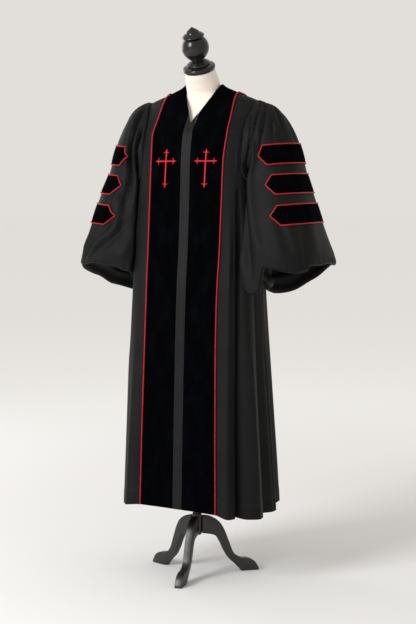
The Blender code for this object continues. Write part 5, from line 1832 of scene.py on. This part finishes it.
def path_value(tree, name, kind):
    """A named attribute of the path, for a tree to read."""
    reader = {"Name": name}
    return add_node(tree, "GeometryNodeInputNamedAttribute", reader, data_type=kind)["Attribute"]


def path_direction(tree):
    return add_node(tree, "GeometryNodeInputTangent", {})["Tangent"]


def turn_axis(tree, inputs, axis, pivot="AUTO"):
    """A rotation that turns one axis towards a direction."""
    settings = {"axis": axis, "pivot_axis": pivot}
    return add_node(tree, "FunctionNodeAlignRotationToVector", inputs, **settings)["Rotation"]


def satin_tree():
    """Threads laid side by side across a path, as wide as the path says."""
    tree, given = new_tree("satin_stitch", (
        ("Radius", "Float", THREAD_RADIUS),
        ("Step", "Float", THREAD_STEP),
        ("Dome", "Float", THREAD_DOME),
    ))
    crown = add_node(tree, "ShaderNodeCombineXYZ", {"Z": given["Dome"]})["Vector"]
    arc = add_node(tree, "GeometryNodeCurveQuadraticBezier", {
        "Start": (-1.0, 0.0, 0.0), "Middle": crown, "End": (1.0, 0.0, 0.0),
        "Resolution": THREAD_BENDS})
    size = {"X": path_value(tree, "width", "FLOAT"), "Y": 1.0, "Z": 1.0}
    turned = turn_axis(tree, {"Vector": path_value(tree, "way", "FLOAT_VECTOR")}, "Z")
    turned = turn_axis(tree, {"Vector": path_direction(tree), "Rotation": turned}, "Y", "Z")
    laid = add_node(tree, "GeometryNodeInstanceOnPoints", {
        "Points": even_path(tree, given, "Step"),
        "Instance": round_rod(tree, arc["Curve"], given["Radius"], THREAD_SIDES),
        "Rotation": turned,
        "Scale": add_node(tree, "ShaderNodeCombineXYZ", size)["Vector"],
    })
    return end_tree(tree, given, laid["Instances"])


def stroke(side, start, end, half_width=STROKE_HALF, bend=0.0):
    """A stroke of the cross between two (sideways, height) places, pointed at both ends."""
    length = sqrt((end[0] - start[0]) ** 2 + (end[1] - start[1]) ** 2)
    count = max(int(length / STROKE_STEP), STROKE_LEAST)
    aside = ((end[1] - start[1]) / length, (start[0] - end[0]) / length)
    path = []
    for step in range(count + 1):
        share = step / count
        bow = bend * (2.0 * share - 1.0) ** 2
        x = lerp(start[0], end[0], share) + aside[0] * bow
        height = lerp(start[1], end[1], share) + aside[1] * bow
        across = front_across(height, CROSS_MIDDLE + x + side * CROSS_LEAN * (height - CROSS_BAR))
        from_end = min(share, 1.0 - share) * length / TIP_LENGTH
        half = half_width * ease(from_end * (1.0 - TIP_BLUNT) + TIP_BLUNT)
        rise = VELVET / 2.0 + THREAD_RADIUS + velvet_ripple(across * side, height)
        path.append(on_body(side, across, height, rise, half))
    return path


def make_cross(side, tree, material):
    top = lerp(CROSS_BAR, CROSS_TOP, CROSSLET_PLACE)
    foot = lerp(CROSS_BAR, CROSS_FOOT, CROSSLET_FOOT_PLACE)
    arm = CROSS_REACH * CROSSLET_PLACE
    half = CROSSLET_HALF
    high, low = CROSS_BAR + half, CROSS_BAR - half
    paths = [
        stroke(side, (0.0, CROSS_FOOT), (0.0, CROSS_TOP)),
        stroke(side, (-CROSS_REACH, CROSS_BAR), (CROSS_REACH, CROSS_BAR)),
    ]
    for start, end in (((-half, top), (half, top)), ((half, foot), (-half, foot)),
                       ((arm, high), (arm, low)), ((-arm, low), (-arm, high))):
        paths.append(stroke(side, start, end, CROSSLET_STROKE, CROSSLET_BEND))
    cross = grow("cross_%s_embroidery" % SIDE_NAMES[side], paths, tree, {"Material": material})


satin = satin_tree()
rayon = red_rayon()
for gown_side in (RIGHT, LEFT):
    make_cross(gown_side, satin, rayon)


# --- Stitching -------------------------------------------------------------------------------
# Black polyester thread: a row of short stitches beside each edge of the centre strips, above the
# yoke seams and round the hem, where the fold is caught down.

STITCH_LENGTH = 0.0024
STITCH_PITCH = 0.0034
STITCH_RADIUS = 0.00026
STITCH_SIDES = 6
STITCH_IN = 0.0016
INNER_STITCH_IN = 2.2
STITCH_START = 0.004
YOKE_STITCH_START = 0.006
YOKE_STITCH_END = 0.97
YOKE_STITCH_UP = 0.0055
STITCH_COLOUR = (0.0200, 0.0200, 0.0210, 1.0)


def stitch_tree():
    """Short round stitches, end to end along a path."""
    tree, given = new_tree("running_stitch", (
        ("Radius", "Float", STITCH_RADIUS),
        ("Length", "Float", STITCH_LENGTH),
        ("Pitch", "Float", STITCH_PITCH),
    ))
    barrel = add_node(tree, "GeometryNodeMeshCylinder", {
        "Vertices": STITCH_SIDES, "Radius": given["Radius"], "Depth": given["Length"]})
    smooth = add_node(tree, "GeometryNodeSetShadeSmooth", {"Geometry": barrel["Mesh"]})
    sewn = add_node(tree, "GeometryNodeInstanceOnPoints", {
        "Points": even_path(tree, given, "Pitch"),
        "Instance": smooth["Geometry"],
        "Rotation": turn_axis(tree, {"Vector": path_direction(tree)}, "Z"),
    })
    return end_tree(tree, given, sewn["Instances"])


def make_stitching():
    """Each row lies a part of the thread's radius over the cloth."""
    material = new_material("black_thread", STITCH_COLOUR, 0.5)[0]
    tree = stitch_tree()
    steps = [step / PANEL_ROWS for step in range(PANEL_ROWS + 1)]
    strips, hems, yokes = [], [], []
    hem_height = HEM + HEM_FOLD
    yoke_height = YOKE_SEAM + YOKE_STITCH_UP
    for side in (RIGHT, LEFT):
        heights = [lerp(HEM + STITCH_START, V_POINT - PARTING_TOP, share) for share in steps]
        over = BAND / 2.0 + STITCH_RADIUS * 0.6 + BAND_RISE * 0.6
        for half in (BAND_WIDTH - STITCH_IN, INNER_STITCH_IN * STITCH_IN):
            strips.append([on_body(side, front_across(height, half), height, over)
                           for height in heights])
        start = velvet_edge(hem_height) + STITCH_START
        over = CLOTH / 2.0 + STITCH_RADIUS * 0.4
        hems.append([on_body(side, lerp(start, 1.0, share), hem_height, over) for share in steps])
        over = CLOTH / 2.0 + STITCH_RADIUS * 0.2
        for front in (True, False):
            inner = velvet_edge(YOKE_SEAM) + YOKE_STITCH_START if front else 1.0
            outer = armhole_across(yoke_height, front)
            places = [lerp(inner, outer, share * YOKE_STITCH_END) for share in steps[::4]]
            yokes.append([on_body(side, across, yoke_height, over) for across in places])
    for name, lines, slot in (("strip_stitches", strips, "band_cloth"),
                              ("hem_stitches", hems, "gown_cloth"),
                              ("yoke_stitches", yokes, "gown_cloth")):
        grow(name, lines, tree, {"Material": material})


make_stitching()
